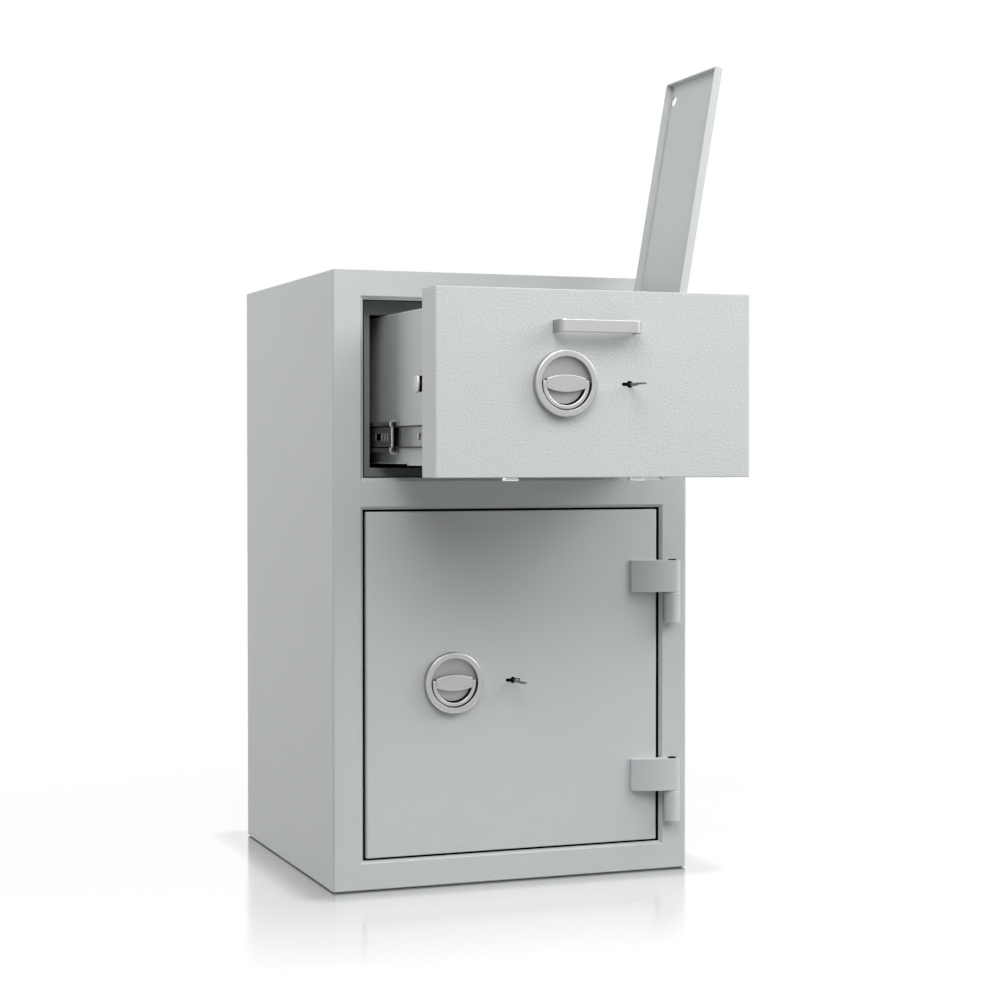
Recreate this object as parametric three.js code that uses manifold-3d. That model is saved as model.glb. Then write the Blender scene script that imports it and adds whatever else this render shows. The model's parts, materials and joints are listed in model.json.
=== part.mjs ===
// Drop safe: a locked cabinet with a deposit drawer above and a hinged door below.
// The drawer stands part way out with its tray lid swung open; the door is shut.
// Millimetres, +Z up, front towards -Y, +X to the right of a person facing the front.
// The origin is the centre of the underside, which rests on the floor.
import * as THREE from 'three';
import { mergeVertices } from 'three/addons/utils/BufferGeometryUtils.js';
import Module from 'manifold-3d';

const wasm = await Module();
wasm.setup();

// Cabinet body
const cabinetWidth = 500;
const cabinetHeight = 800;
const cabinetDepth = 450;
const skin = 4; // outer sheet, and the front plate that carries both openings
const foldRadius = 3.5; // bend along the upright front edges
const footGap = 1; // the outer sheet stops this far above the floor
const sideMargin = 37.5; // front plate beside the openings
const topMargin = 33.2;
const middleRail = 33.3;
const bottomMargin = 35.5;
const drawerOpeningHeight = 237.5;
const openingBevel = 4; // chamfer round both openings
const backWall = 38;
const rearSheet = 2;

// Working clearances
const seatGap = 0.3; // between pieces that seat on each other
const frameGap = 0.5; // shut door or drawer front to its stop frame
const doorGap = 3; // reveal at the sides of the door and the drawer front
const revealHeight = 2.5; // reveal above and below them
const sheet = 1.5; // tray and cover sheet
const overrun = 5; // how far a cutter passes the face that it cuts

// Thick fronts, and the frames that they close against
const plateThickness = 46;
const plateFold = 3; // bend at the upright edges of the door and the drawer front
const stopThickness = 8;
const stopSide = 22.5; // how far the stop frame stands in from the side wall
const stopTop = 17;
const stopBottom = 12.7;

// Bolts
const boltRadius = 11;
const boltChamfer = 1.5;
const boltSetback = 24.5; // bolt axis behind the back of the door or drawer front
const boltReach = 17.5; // how far a thrown side bolt passes the stop frame's edge
const boltLength = 60;
const tailThickness = 4;
const tailHeight = 20;

// Drawer tray
const trayInset = 14; // tray walls in from the stop frame's side edges
const trayRearGap = 9; // shut tray to the back wall
const trayLow = 18.2; // underside of the tray above the floor of its bay
const trayTop = 18.8; // top of the tray below the roof of its bay
const trayLip = 2.5; // foot of each tray wall, turned outwards
const traySkirt = 2; // the front part of each wall stands this much lower
const skirtLength = 151;
const lockBay = 52.5; // depth of the bolt bay behind the drawer front
const wellGap = 0.4; // lid to the walls of the well, and flap to the same walls
const ledgeWidth = 10;
const lidClearOfFront = 28.5; // the drawer is out this far past the point where its lid clears

// Tray lid, hinged along the right wall
const lidWidth = 145;
const lidEndGap = 4; // free end of the shut lid to the left tray wall
const lidDepth = 10.4;
const lidSheet = 1.8;
const lidHingeInset = 16; // hinge axis from the outside of the right tray wall
const lidLean = THREE.MathUtils.degToRad(9.83); // past upright, on its open stop
const lidHoleRadius = 6.5;
const lidHoleFromEnd = 22.3;
const lidHoleFromRear = 13.3;
const lidRodRadius = 2.5;
const lidRimInset = 0.3; // shut lid below the rim of the tray

// Drop flap, the hinged floor of the well
const flapRodRadius = 2.5;
const flapBarrelRadius = 4;
const flapLipWidth = 8; // flange that stops the shut flap at its rear edge

// Telescopic drawer slides: a cabinet, a middle and a drawer member on each side
const slideAbove = 52.4; // slide centre line above the floor of the drawer bay
const slideThickness = 12.7;
const slideSheet = 1.4;
const slideHeight = 45;
const slideMiddleHeight = 40;
const slideInnerHeight = 28;
const slideSetback = 46.5; // from the back of the stop frame
const cabinetLipReach = 4.2; // lips of the cabinet member end this far from the tray wall
const middleLipReach = 2.5;
const middleWebDepth = 1.9; // the middle member's web stands in from its races
const middleWebHalf = 12.6;
const middleRaceLow = 14.5; // the races bulge outwards above this height
const middleRaceRound = 1.5;
const drawerLipReach = 6.5;
const slotHeight = 9;
// Slots in the middle member: their distances from its front end, and their lengths
const slotPlaces = [[21, 4.4], [36.3, 4.2], [51.6, 21]];
const drawerSlotPlace = 43; // from the front end of the drawer member
const drawerSlotLength = 7;
const latchLength = 76;
const latchThickness = 4;
const latchHalfHeight = 9;
const latchHeadLength = 14;
const latchHeadHalfHeight = 12;
const bracketHeight = 50;
const bracketSheet = 2;

// Turning knob with a folding bail
const knobRadius = 40;
const knobHeight = 10.4;
const dishRadius = 31.5;
const dishFloor = 3;
const rimRound = 1.6;
const bridgeHalfWidth = 24.5;
const bridgeHalfHeight = 10.5;
const bridgeEndHalfHeight = 6.75;
const bridgeTop = 9.4;
const bailOuter = 29.4;
const bailInner = 25.3;
const bailLow = 4.4; // back and front faces of the bail above the plate
const bailHigh = 8.6;
const bailCentreDrop = 1.6; // centre of the half ring below the knob's centre
const bailPivotRise = 0.5; // pivot axis above the knob's centre
const bailLegTop = 3;
const bailPinRadius = 1.5;
const bailPinLength = 4;
const tickWidth = 1.6; // index mark on the ring
const tickLength = 4;
const tickDepth = 0.8;
const spindleRadius = 7;
const spindleClear = 0.4;
const camRadius = 25;
const camThickness = 4;
const camBehindPlate = 9;

// Keys and keyholes
const keyholeRadius = 4.25;
const keySlotHalfWidth = 10.5;
const keySlotHeight = 4.2;
const keyStemRadius = 2.75;
const keyCollarRadius = 3.9;
const keyCollarLength = 3;
const keyBeadRadius = 3.6;
const keyBeadLength = 5;
const keyStemOut = 23;
const bowLength = 26;
const bowWidth = 14;
const bowThickness = 2.6;
const bowHoleRadius = 4.2;
const bowHoleSetOut = 3.5; // hole centre beyond the middle of the bow
const keyBitHalfWidth = 9.5;
const keyBitHeight = 3.6;
const keyBitLength = 8;
const keyTip = 4.5; // stem beyond the bits, held in the lock's guide bore
const keyBitSetback = 2; // bits behind the back of the plate

// Lock bodies behind the keyholes
const lockWidth = 64;
const lockHeight = 84;
const lockDepth = 18;
const lockPocketRadius = 11;
const lockPocketDepth = 11.5;
const lockGuideDepth = 15.5;

// Places on the drawer front
const drawerKnobX = -42.7;
const drawerKeyX = 43.2;
const handleX = -3.4;
const handleLength = 107.5;
const handleHeight = 15.6;
const handleStandOff = 25;
const handleStrip = 4;
const handleBend = 9;
const handleBelowTop = 44.4; // centre line below the top of the drawer front
const lowerBoltX = 84;
const lowerBoltReach = 15; // past the lower edge of the stop frame
const lowerBoltLength = 47;
const crossbarHeight = 15;
const tailInset = 33; // inner end of a side bolt's tail from the knob's centre

// Places on the door
const doorKnobFromEdge = 117.7; // from the door's free edge
const doorKeyFromKnob = 84.8;
const doorPan = 10; // thickness of the full-size front pan
const doorCaseInset = 8; // inner case narrower than the pan, so that it swings clear
const doorBoltTravel = 25;
const boltFromCaseEnd = 36.75; // outer bolts from the ends of the bolt cover
const boltCaseInset = 12; // bolt cover in from the stop frame's side edges
const boltCaseFromEnd = 37; // bolt cover in from the ends of the door
const boltCaseDepth = 50;
const boltBarWidth = 12;
const boltBarThickness = 10;
const dogRadius = 9;
const dogReach = 10; // hinge-side dogs past the stop frame's edge
const dogLength = 44;

// External hinges on the right
const hingeAxisOut = 18; // axis outside the door's hinge-side edge
const knuckleRadius = 11;
const knuckleHeight = 41;
const leafHeight = 42.5;
const leafCorner = 3; // rounding of the leaf's lower free corner
const leafLength = 58; // from the hinge axis to the free end of the leaf
const leafEndThickness = 7;
const leafBore = 6;
const hingePinClear = 0.3;
const washerThickness = 1.3;
const washerRadius = 10.4;
const pinBelowLeafTop = 6;
const weldHalfWidth = 6;
const upperHingeBelowTop = 68.4; // top of the upper leaf below the top of the door
const lowerHingeAboveFoot = 25.7; // foot of the lower knuckle above the foot of the door

// Deposit opening in the partition, and the guard under it
const dropInset = 4; // sides of the opening in from the tray walls
const dropMargin = 5; // opening wider than the well, front and rear
const guardDrop = 42;
const guardSheet = 2;
const guardFoot = 22;
const guardTeeth = 15;
const guardToothDepth = 12;
const guardInset = 8; // ends of the guard in from the sides of the opening

// Facets of round forms
const roundSides = 32;
const arcSteps = 8;
const knobSides = 64;

// Places worked out from the sizes above
const side = cabinetWidth / 2;
const front = -cabinetDepth / 2;
const rear = cabinetDepth / 2;
const innerX = side - sideMargin - openingBevel;
const innerRear = rear - rearSheet - backWall;
const plateBack = front + plateThickness;
const stopFront = plateBack + frameGap;
const stopRear = stopFront + stopThickness;
const stopX = innerX - stopSide;
const doorBay = {
  low: bottomMargin + openingBevel,
  high: cabinetHeight - topMargin - drawerOpeningHeight - middleRail - openingBevel,
};
const drawerBay = {
  low: cabinetHeight - topMargin - drawerOpeningHeight + openingBevel,
  high: cabinetHeight - topMargin - openingBevel,
};
const plateX = innerX - doorGap;
const doorPlate = { low: doorBay.low + revealHeight, high: doorBay.high - revealHeight };
const drawerPlate = { low: drawerBay.low + revealHeight, high: drawerBay.high - revealHeight };
const boltY = plateBack + boltSetback;
const drawerLockZ = (drawerPlate.low + drawerPlate.high) / 2;
const doorLockZ = (doorPlate.low + doorPlate.high) / 2;
const doorKnobX = doorKnobFromEdge - plateX;
const doorKeyX = doorKnobX + doorKeyFromKnob;
const hingeAxisX = plateX + hingeAxisOut;
const lowerKnuckleBase = doorPlate.low + lowerHingeAboveFoot;
const upperKnuckleBase = (
  doorPlate.high - upperHingeBelowTop - leafHeight - washerThickness - seatGap - knuckleHeight
);
const boltCase = { low: doorPlate.low + boltCaseFromEnd, high: doorPlate.high - boltCaseFromEnd };
const boltCaseX = stopX - boltCaseInset;
const doorBoltHeights = [
  boltCase.low + boltFromCaseEnd, (boltCase.low + boltCase.high) / 2, boltCase.high - boltFromCaseEnd,
];
const doorBoltNose = stopX + boltReach - doorBoltTravel;

const trayX = stopX - trayInset;
const trayInnerX = trayX - sheet;
const sheetX = trayInnerX - seatGap;
const trayFloor = drawerBay.low + trayLow;
const trayRim = drawerBay.high - trayTop;
const trayRear = innerRear - trayRearGap;
const coverTop = trayRim - sheet - seatGap;
const lidFront = plateBack + lockBay;
const lidRear = lidFront + lidWidth;
const wellFront = lidFront - wellGap;
const wellRear = lidRear + wellGap;
const drawerPull = lidRear - front + lidClearOfFront;
const lidAxisX = trayX - lidHingeInset;
const lidLength = lidAxisX + trayInnerX - lidEndGap;
const lidAxisZ = trayRim - lidRimInset - lidDepth / 2;
const ledgeTop = lidAxisZ - lidDepth / 2 - seatGap;
const flapAxisY = wellFront + wellGap + flapBarrelRadius;
const flapAxisZ = trayFloor + flapBarrelRadius;
const slideZ = drawerBay.low + slideAbove;
const slideOuterX = trayX + slideThickness;
const slideFront = stopRear + slideSetback;
const slideRear = trayRear;
const dropX = trayX - dropInset;
const guardX = dropX - guardInset;
const bailPivotY = -(bailLow + bailHigh) / 2; // from the face that the knob sits on

// Solids and outlines
function block(x0, x1, y0, y1, z0, z1) {
  return new THREE.BoxGeometry(x1 - x0, y1 - y0, z1 - z0)
    .translate((x0 + x1) / 2, (y0 + y1) / 2, (z0 + z1) / 2);
}

function extrude(outline, depth) {
  return new THREE.ExtrudeGeometry(outline, { depth, bevelEnabled: false, curveSegments: arcSteps });
}

// An outline in plan (x, y) raised from one height to another
function raise(outline, z0, z1) {
  return extrude(outline, z1 - z0).translate(0, 0, z0);
}

// An outline seen from the front (x, z), run backwards
function runBack(outline, y0, y1) {
  return extrude(outline, y1 - y0).rotateX(Math.PI / 2).translate(0, y1, 0);
}

// An outline seen from the side (y, z), run from left to right
function runAcross(outline, x0, x1) {
  return extrude(outline, x1 - x0).rotateX(Math.PI / 2).rotateZ(Math.PI / 2).translate(x0, 0, 0);
}

// A round bar along one axis; a and b are its place along the other two, in x, y, z order
function bar(axis, radius, from, to, a, b) {
  const round = new THREE.CylinderGeometry(radius, radius, to - from, roundSides);
  const middle = (from + to) / 2;
  if (axis === 'x') return round.rotateZ(Math.PI / 2).translate(middle, a, b);
  if (axis === 'y') return round.translate(a, middle, b);
  return round.rotateX(Math.PI / 2).translate(a, b, middle);
}

function polygon(points) {
  return new THREE.Shape(points.map(([u, v]) => new THREE.Vector2(u, v)));
}

function toSolid(geometry) {
  const bare = geometry.clone();
  bare.deleteAttribute('normal');
  bare.deleteAttribute('uv');
  const merged = mergeVertices(bare);
  const corners = [];
  const index = merged.index.array;
  for (let i = 0; i < index.length; i += 3) {
    const [a, b, c] = index.slice(i, i + 3);
    if (a !== b && b !== c && c !== a) corners.push(a, b, c);
  }
  return new wasm.Manifold(new wasm.Mesh({
    numProp: 3,
    vertProperties: new Float32Array(merged.attributes.position.array),
    triVerts: new Uint32Array(corners),
  }));
}

function toGeometry(solid) {
  const { vertProperties, triVerts } = solid.getMesh();
  const geometry = new THREE.BufferGeometry();
  geometry.setAttribute('position', new THREE.BufferAttribute(vertProperties, 3));
  geometry.setIndex(new THREE.BufferAttribute(triVerts, 1));
  geometry.computeVertexNormals();
  return geometry;
}

function join(...pieces) {
  return toGeometry(pieces.map(toSolid).reduce((whole, next) => whole.add(next)));
}

function cut(base, ...tools) {
  return toGeometry(tools.map(toSolid).reduce((rest, tool) => rest.subtract(tool), toSolid(base)));
}

// Finishes
const finishes = {
  paint: { color: 0xcdd2d2, roughness: 0.55, metalness: 0.1 },
  inside: { color: 0xb9bebe, roughness: 0.6, metalness: 0.1 },
  satin: { color: 0xc6c7c7, roughness: 0.3, metalness: 0.9 },
  zinc: { color: 0x9fa2a3, roughness: 0.35, metalness: 0.9 },
  steel: { color: 0xa9acad, roughness: 0.3, metalness: 1 },
  black: { color: 0x1d1e1f, roughness: 0.6, metalness: 0 },
};

function piece(name, geometry, finish) {
  const mesh = new THREE.Mesh(geometry, new THREE.MeshStandardMaterial(finishes[finish]));
  mesh.name = name;
  return mesh;
}

function assembly(...children) {
  const group = new THREE.Group();
  group.add(...children);
  return group;
}

// Folded outer sheet with its front plate and the two chamfered openings
function bevelledOpening(bay) {
  const outline = polygon([
    [-innerX, bay.low], [innerX, bay.low], [innerX, bay.high], [-innerX, bay.high],
  ]);
  const flare = new THREE.ExtrudeGeometry(outline, {
    depth: overrun, bevelThickness: openingBevel, bevelSize: openingBevel, bevelSegments: 1,
  }).rotateX(Math.PI / 2).translate(0, front, 0);
  const throat = block(-innerX, innerX, front - overrun, front + skin + overrun, bay.low, bay.high);
  return [flare, throat];
}

// Plan of a plate whose two front corners are folded round
function foldedPlan(halfWidth, y0, y1, radius) {
  const plan = new THREE.Shape();
  plan.moveTo(-halfWidth, y1);
  plan.lineTo(-halfWidth, y0 + radius);
  plan.absarc(-halfWidth + radius, y0 + radius, radius, Math.PI, 1.5 * Math.PI);
  plan.lineTo(halfWidth - radius, y0);
  plan.absarc(halfWidth - radius, y0 + radius, radius, 1.5 * Math.PI, 2 * Math.PI);
  plan.lineTo(halfWidth, y1);
  return plan;
}

function outerJacket() {
  const body = raise(foldedPlan(side, front, rear, foldRadius), footGap, cabinetHeight);
  const inside = block(
    -side + skin, side - skin, front + skin, rear + overrun, -overrun, cabinetHeight - skin,
  );
  return cut(body, inside, ...bevelledOpening(doorBay), ...bevelledOpening(drawerBay));
}

// Filled walls behind the outer sheet; their inner faces line up with the openings
function cabinetWalls() {
  const y0 = front + skin;
  const y1 = rear - rearSheet;
  const roof = cabinetHeight - skin;
  const bottom = block(-side + skin, side - skin, y0, y1, 0, doorBay.low);
  const left = block(-side + skin, -innerX, y0, y1, doorBay.low, roof);
  const right = block(innerX, side - skin, y0, y1, doorBay.low, roof);
  const top = block(-innerX, innerX, y0, y1, drawerBay.high, roof);
  const back = block(-innerX, innerX, innerRear, y1, doorBay.low, drawerBay.high);
  const shelf = block(-innerX, innerX, y0, innerRear, doorBay.high, drawerBay.low);
  const drop = block(
    -dropX, dropX, wellFront - dropMargin, wellRear + dropMargin,
    doorBay.high - overrun, drawerBay.low + overrun,
  );
  const rearPlate = block(-side + skin, side - skin, y1, rear, 0, roof);
  return [
    piece('wall_bottom', bottom, 'inside'),
    piece('wall_left', left, 'inside'),
    piece('wall_right', right, 'inside'),
    piece('wall_top', top, 'inside'),
    piece('wall_back', back, 'inside'),
    piece('partition', cut(shelf, drop), 'inside'),
    piece('rear_panel', rearPlate, 'paint'),
  ];
}

function stopFrame(bay) {
  return cut(
    block(-innerX, innerX, stopFront, stopRear, bay.low, bay.high),
    block(
      -stopX, stopX, stopFront - overrun, stopRear + overrun, bay.low + stopBottom, bay.high - stopTop,
    ),
  );
}

// Sawtooth guard that stops a deposit from being drawn back up through the opening
function dropGuard() {
  const y0 = wellRear + dropMargin;
  const top = doorBay.high;
  const fold = polygon([
    [y0, top], [y0 + guardFoot, top], [y0 + guardFoot, top - guardSheet],
    [y0 + guardSheet, top - guardSheet], [y0 + guardSheet, top - guardDrop], [y0, top - guardDrop],
  ]);
  const pitch = 2 * guardX / guardTeeth;
  const low = top - guardDrop;
  const notches = Array.from({ length: guardTeeth }, (_, i) => {
    const x = i * pitch - guardX;
    return runBack(polygon([
      [x, low - overrun], [x + pitch, low - overrun], [x + pitch, low],
      [x + pitch / 2, low + guardToothDepth], [x, low],
    ]), y0 - overrun, y0 + guardFoot + overrun);
  });
  return cut(runAcross(fold, -guardX, guardX), ...notches);
}

// Fixed knuckle with its washer and the pin that the leaf is lifted onto
function hingeKnuckle(base) {
  const top = base + knuckleHeight;
  const axisY = front - knuckleRadius;
  const pinTop = top + washerThickness + seatGap + leafHeight - pinBelowLeafTop;
  return join(
    bar('z', knuckleRadius, base, top, hingeAxisX, axisY),
    block(hingeAxisX - weldHalfWidth, hingeAxisX + weldHalfWidth, axisY, front, base, top),
    bar('z', washerRadius, top, top + washerThickness, hingeAxisX, axisY),
    bar('z', leafBore - hingePinClear, top - overrun, pinTop, hingeAxisX, axisY),
  );
}

// A slide member: the upper half of its section, from the web's outer face round to its inner
// face, mirrored below the centre line and placed on the left (-1) or on the right (1)
function slideMember(sign, upperHalf) {
  const lowerHalf = upperHalf.map(([x, z]) => [x, -z]).reverse();
  const outline = [...upperHalf, ...lowerHalf].map(([x, z]) => [sign * x, slideZ + z]);
  return runBack(polygon(outline), slideFront, slideRear);
}

function slideBracket(sign) {
  const half = bracketHeight / 2;
  const web = slideOuterX + bracketSheet;
  return slideMember(sign, [
    [web, half - bracketSheet], [innerX, half - bracketSheet], [innerX, half], [slideOuterX, half],
  ]);
}

// The outer channel, its lips turned in round the races of the middle member
function slideCabinetMember(sign) {
  const half = slideHeight / 2;
  const lip = trayX + cabinetLipReach;
  const web = slideOuterX - slideSheet;
  return slideMember(sign, [
    [slideOuterX, half], [lip, half], [lip, slideMiddleHeight / 2 + seatGap],
    [lip + slideSheet, slideMiddleHeight / 2 + seatGap], [lip + slideSheet, half - slideSheet],
    [web, half - slideSheet],
  ]);
}

// Bulging races above and below a sunk web, with lips that close over the drawer member
function slideMiddleMember(sign) {
  const half = slideMiddleHeight / 2;
  const outside = slideOuterX - slideSheet - frameGap;
  const web = outside - middleWebDepth;
  const lip = trayX + middleLipReach;
  const lipFoot = slideInnerHeight / 2 + seatGap;
  const body = slideMember(sign, [
    [web, middleWebHalf], [outside, middleRaceLow], [outside, half - middleRaceRound],
    [outside - middleRaceRound, half], [lip, half], [lip, lipFoot], [lip + slideSheet, lipFoot],
    [lip + slideSheet, half - slideSheet], [outside - slideSheet - middleRaceRound, half - slideSheet],
    [outside - slideSheet, half - slideSheet - middleRaceRound], [outside - slideSheet, middleRaceLow],
    [web - slideSheet, middleWebHalf],
  ]);
  const slots = slotPlaces.map(([place, length]) => block(
    sign * web - overrun, sign * web + overrun, slideFront + place, slideFront + place + length,
    slideZ - slotHeight / 2, slideZ + slotHeight / 2,
  ));
  return cut(body, ...slots);
}

// The inner channel, screwed flat to the tray wall
function slideDrawerMember(sign) {
  const half = slideInnerHeight / 2;
  const lip = trayX + drawerLipReach;
  const body = slideMember(sign, [
    [trayX, half], [lip, half], [lip, half - slideSheet], [trayX + slideSheet, half - slideSheet],
  ]);
  const y = slideFront + drawerSlotPlace;
  const slot = block(
    sign * trayX - overrun, sign * trayX + overrun, y, y + drawerSlotLength,
    slideZ - slotHeight / 2, slideZ + slotHeight / 2,
  );
  return cut(body, slot);
}

// Release latch lying along the inside of the middle member's web
function slideLatch(sign) {
  const webFace = slideOuterX - 2 * slideSheet - frameGap - middleWebDepth;
  const near = Math.min(sign * webFace, sign * (webFace - latchThickness));
  const arm = block(
    near, near + latchThickness, slideFront, slideFront + latchLength,
    slideZ - latchHalfHeight, slideZ + latchHalfHeight,
  );
  const head = block(
    near, near + latchThickness, slideFront, slideFront + latchHeadLength,
    slideZ - latchHeadHalfHeight, slideZ + latchHeadHalfHeight,
  );
  return join(arm, head);
}

// Turned bolt with a chamfered nose at the origin, its body along +Y
function boltBody(length) {
  return new THREE.LatheGeometry([
    new THREE.Vector2(0, 0), new THREE.Vector2(boltRadius - boltChamfer, 0),
    new THREE.Vector2(boltRadius, boltChamfer), new THREE.Vector2(boltRadius, length),
    new THREE.Vector2(0, length),
  ], roundSides);
}

function sideBolt(sign, z, noseX, tailEnd) {
  const nose = boltBody(boltLength).rotateZ(sign * Math.PI / 2).translate(sign * noseX, boltY, z);
  const inner = sign * (noseX - boltLength + overrun);
  const tail = block(
    Math.min(inner, tailEnd), Math.max(inner, tailEnd),
    boltY - tailThickness / 2, boltY + tailThickness / 2, z - tailHeight / 2, z + tailHeight / 2,
  );
  return join(nose, tail);
}

// Keyhole through a plate: a round hole with a slot to each side
function keyholeCutters(x, z, y0, y1) {
  const half = keySlotHeight / 2;
  return [
    bar('y', keyholeRadius, y0, y1, x, z),
    block(x - keySlotHalfWidth, x + keySlotHalfWidth, y0, y1, z - half, z + half),
  ];
}

// Lock body with a pocket for the key's bits and a guide bore for its tip
function lockBody(x, z) {
  const y0 = plateBack + seatGap;
  const low = z - lockHeight / 2;
  return cut(
    block(x - lockWidth / 2, x + lockWidth / 2, y0, y0 + lockDepth, low, low + lockHeight),
    bar('y', lockPocketRadius, y0 - overrun, y0 + lockPocketDepth, x, z),
    bar('y', keyStemRadius + seatGap, y0, y0 + lockGuideDepth, x, z),
  );
}

// Key with its stem in the lock and its bow lying flat, pushed in at the given place
function key(x, z) {
  const bitFront = plateBack + keyBitSetback;
  const tip = bitFront + keyBitLength + keyTip;
  const bowFront = front - keyStemOut;
  const bow = new THREE.Shape();
  bow.absellipse(x, bowFront - bowLength / 2, bowWidth / 2, bowLength / 2, 0, 2 * Math.PI);
  const hole = new THREE.Path();
  hole.absarc(x, bowFront - bowLength / 2 - bowHoleSetOut, bowHoleRadius, 0, 2 * Math.PI);
  bow.holes.push(hole);
  return join(
    bar('y', keyStemRadius, bowFront - keyCollarLength, tip, x, z),
    bar('y', keyCollarRadius, front - 2 * keyCollarLength, front - keyCollarLength, x, z),
    bar('y', keyBeadRadius, bowFront, bowFront + keyBeadLength, x, z),
    raise(bow, z - bowThickness / 2, z + bowThickness / 2),
    block(
      x - keyBitHalfWidth, x + keyBitHalfWidth, bitFront, bitFront + keyBitLength,
      z - keyBitHeight / 2, z + keyBitHeight / 2,
    ),
  );
}

// Dished knob: a rounded rim, a sunk floor and a lens-shaped bridge between the bail's ends
function knob(x, z) {
  const turned = new THREE.LatheGeometry([
    [0, seatGap], [knobRadius - rimRound, seatGap], [knobRadius, seatGap + rimRound],
    [knobRadius, knobHeight - rimRound], [knobRadius - rimRound, knobHeight],
    [dishRadius + rimRound, knobHeight], [dishRadius, knobHeight - rimRound],
    [dishRadius, dishFloor], [0, dishFloor],
  ].map(([r, h]) => new THREE.Vector2(r, h)), knobSides).rotateX(Math.PI);
  const sagitta = bridgeHalfHeight - bridgeEndHalfHeight;
  const arcRadius = (bridgeHalfWidth ** 2 + sagitta ** 2) / (2 * sagitta);
  const spread = Math.asin(bridgeHalfWidth / arcRadius);
  const lens = new THREE.Shape();
  lens.absarc(0, bridgeHalfHeight - arcRadius, arcRadius, Math.PI / 2 - spread, Math.PI / 2 + spread);
  lens.absarc(0, arcRadius - bridgeHalfHeight, arcRadius, 1.5 * Math.PI - spread, 1.5 * Math.PI + spread);
  const bridge = runBack(lens, -bridgeTop, -dishFloor / 2);
  const pinHole = (from, to) => bar('x', bailPinRadius + seatGap, from, to, bailPivotY, bailPivotRise);
  const holeEnd = bailInner - bailPinLength - seatGap;
  const tickCentre = (dishRadius + knobRadius) / 2;
  const tick = block(
    -tickWidth / 2, tickWidth / 2, -knobHeight - overrun, tickDepth - knobHeight,
    tickCentre - tickLength / 2, tickCentre + tickLength / 2,
  );
  return cut(
    join(turned, bridge), pinHole(holeEnd, bridgeHalfWidth), pinHole(-bridgeHalfWidth, -holeEnd), tick,
  ).translate(x, front, z);
}

// Half-ring bail that folds down into the dish, with a pin at each end
function bail(x, z) {
  const outline = new THREE.Shape();
  outline.moveTo(-bailOuter, bailLegTop);
  outline.lineTo(-bailOuter, -bailCentreDrop);
  outline.absarc(0, -bailCentreDrop, bailOuter, Math.PI, 2 * Math.PI);
  outline.lineTo(bailOuter, bailLegTop);
  outline.lineTo(bailInner, bailLegTop);
  outline.lineTo(bailInner, -bailCentreDrop);
  outline.absarc(0, -bailCentreDrop, bailInner, 2 * Math.PI, Math.PI, true);
  outline.lineTo(-bailInner, bailLegTop);
  const pinIn = bailInner - bailPinLength;
  const legIn = (bailInner + bailOuter) / 2;
  return join(
    runBack(outline, -bailHigh, -bailLow),
    bar('x', bailPinRadius, pinIn, legIn, bailPivotY, bailPivotRise),
    bar('x', bailPinRadius, -legIn, -pinIn, bailPivotY, bailPivotRise),
  ).translate(x, front, z);
}

// Round spindle through the plate, with the cam that moves the bolts
function spindle(x, z) {
  const camFront = plateBack + camBehindPlate;
  return join(
    bar('y', spindleRadius, front - seatGap, camFront + camThickness, x, z),
    bar('y', camRadius, camFront, camFront + camThickness, x, z),
  );
}

function frontPlateCutters(knobX, keyX, z, y0, y1) {
  return [
    bar('y', spindleRadius + spindleClear, y0 - overrun, y1 + overrun, knobX, z),
    ...keyholeCutters(keyX, z, y0 - overrun, y1 + overrun),
  ];
}

// Drawer front and the parts on it
function drawerFront() {
  const plate = raise(foldedPlan(plateX, front, plateBack, plateFold), drawerPlate.low, drawerPlate.high);
  return cut(plate, ...frontPlateCutters(drawerKnobX, drawerKeyX, drawerLockZ, front, plateBack));
}

// Bent strip whose two ends stand on the drawer front
function pullHandle() {
  const half = handleLength / 2;
  const out = front - handleStandOff;
  const inner = handleBend - handleStrip;
  const plan = new THREE.Shape();
  plan.moveTo(-half, front);
  plan.lineTo(-half, out + handleBend);
  plan.absarc(-half + handleBend, out + handleBend, handleBend, Math.PI, 1.5 * Math.PI);
  plan.lineTo(half - handleBend, out);
  plan.absarc(half - handleBend, out + handleBend, handleBend, 1.5 * Math.PI, 2 * Math.PI);
  plan.lineTo(half, front);
  plan.lineTo(half - handleStrip, front);
  plan.lineTo(half - handleStrip, out + handleBend);
  plan.absarc(half - handleBend, out + handleBend, inner, 2 * Math.PI, 1.5 * Math.PI, true);
  plan.lineTo(-half + handleBend, out + handleStrip);
  plan.absarc(-half + handleBend, out + handleBend, inner, 1.5 * Math.PI, Math.PI, true);
  plan.lineTo(-half + handleStrip, front);
  const middle = drawerPlate.high - handleBelowTop;
  return raise(plan, middle - handleHeight / 2, middle + handleHeight / 2).translate(handleX, 0, 0);
}

// Side of the tray: rim turned in at the top, foot turned out and lower at the front, bolt hole
function traySide(sign, rimX) {
  const section = (low) => polygon([
    [trayX + trayLip, low], [trayX + trayLip, low + sheet], [trayX, low + sheet], [trayX, trayRim],
    [rimX, trayRim], [rimX, trayRim - sheet], [trayInnerX, trayRim - sheet], [trayInnerX, low],
  ].map(([x, z]) => [sign * x, z]));
  const skirtEnd = plateBack + skirtLength;
  const reach = sign * trayX;
  return cut(
    join(
      runBack(section(trayFloor - traySkirt), plateBack, skirtEnd),
      runBack(section(trayFloor), skirtEnd, trayRear),
    ),
    bar('x', boltRadius + seatGap, reach - overrun, reach + overrun, boltY, drawerLockZ),
  );
}

// The lid's outer face leans on the rim of the right wall when it is open
function lidStopX() {
  const rise = trayRim - lidAxisZ;
  const outward = lidDepth / 2 + seatGap;
  return lidAxisX + (outward + rise * Math.sin(lidLean)) / Math.cos(lidLean);
}

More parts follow.
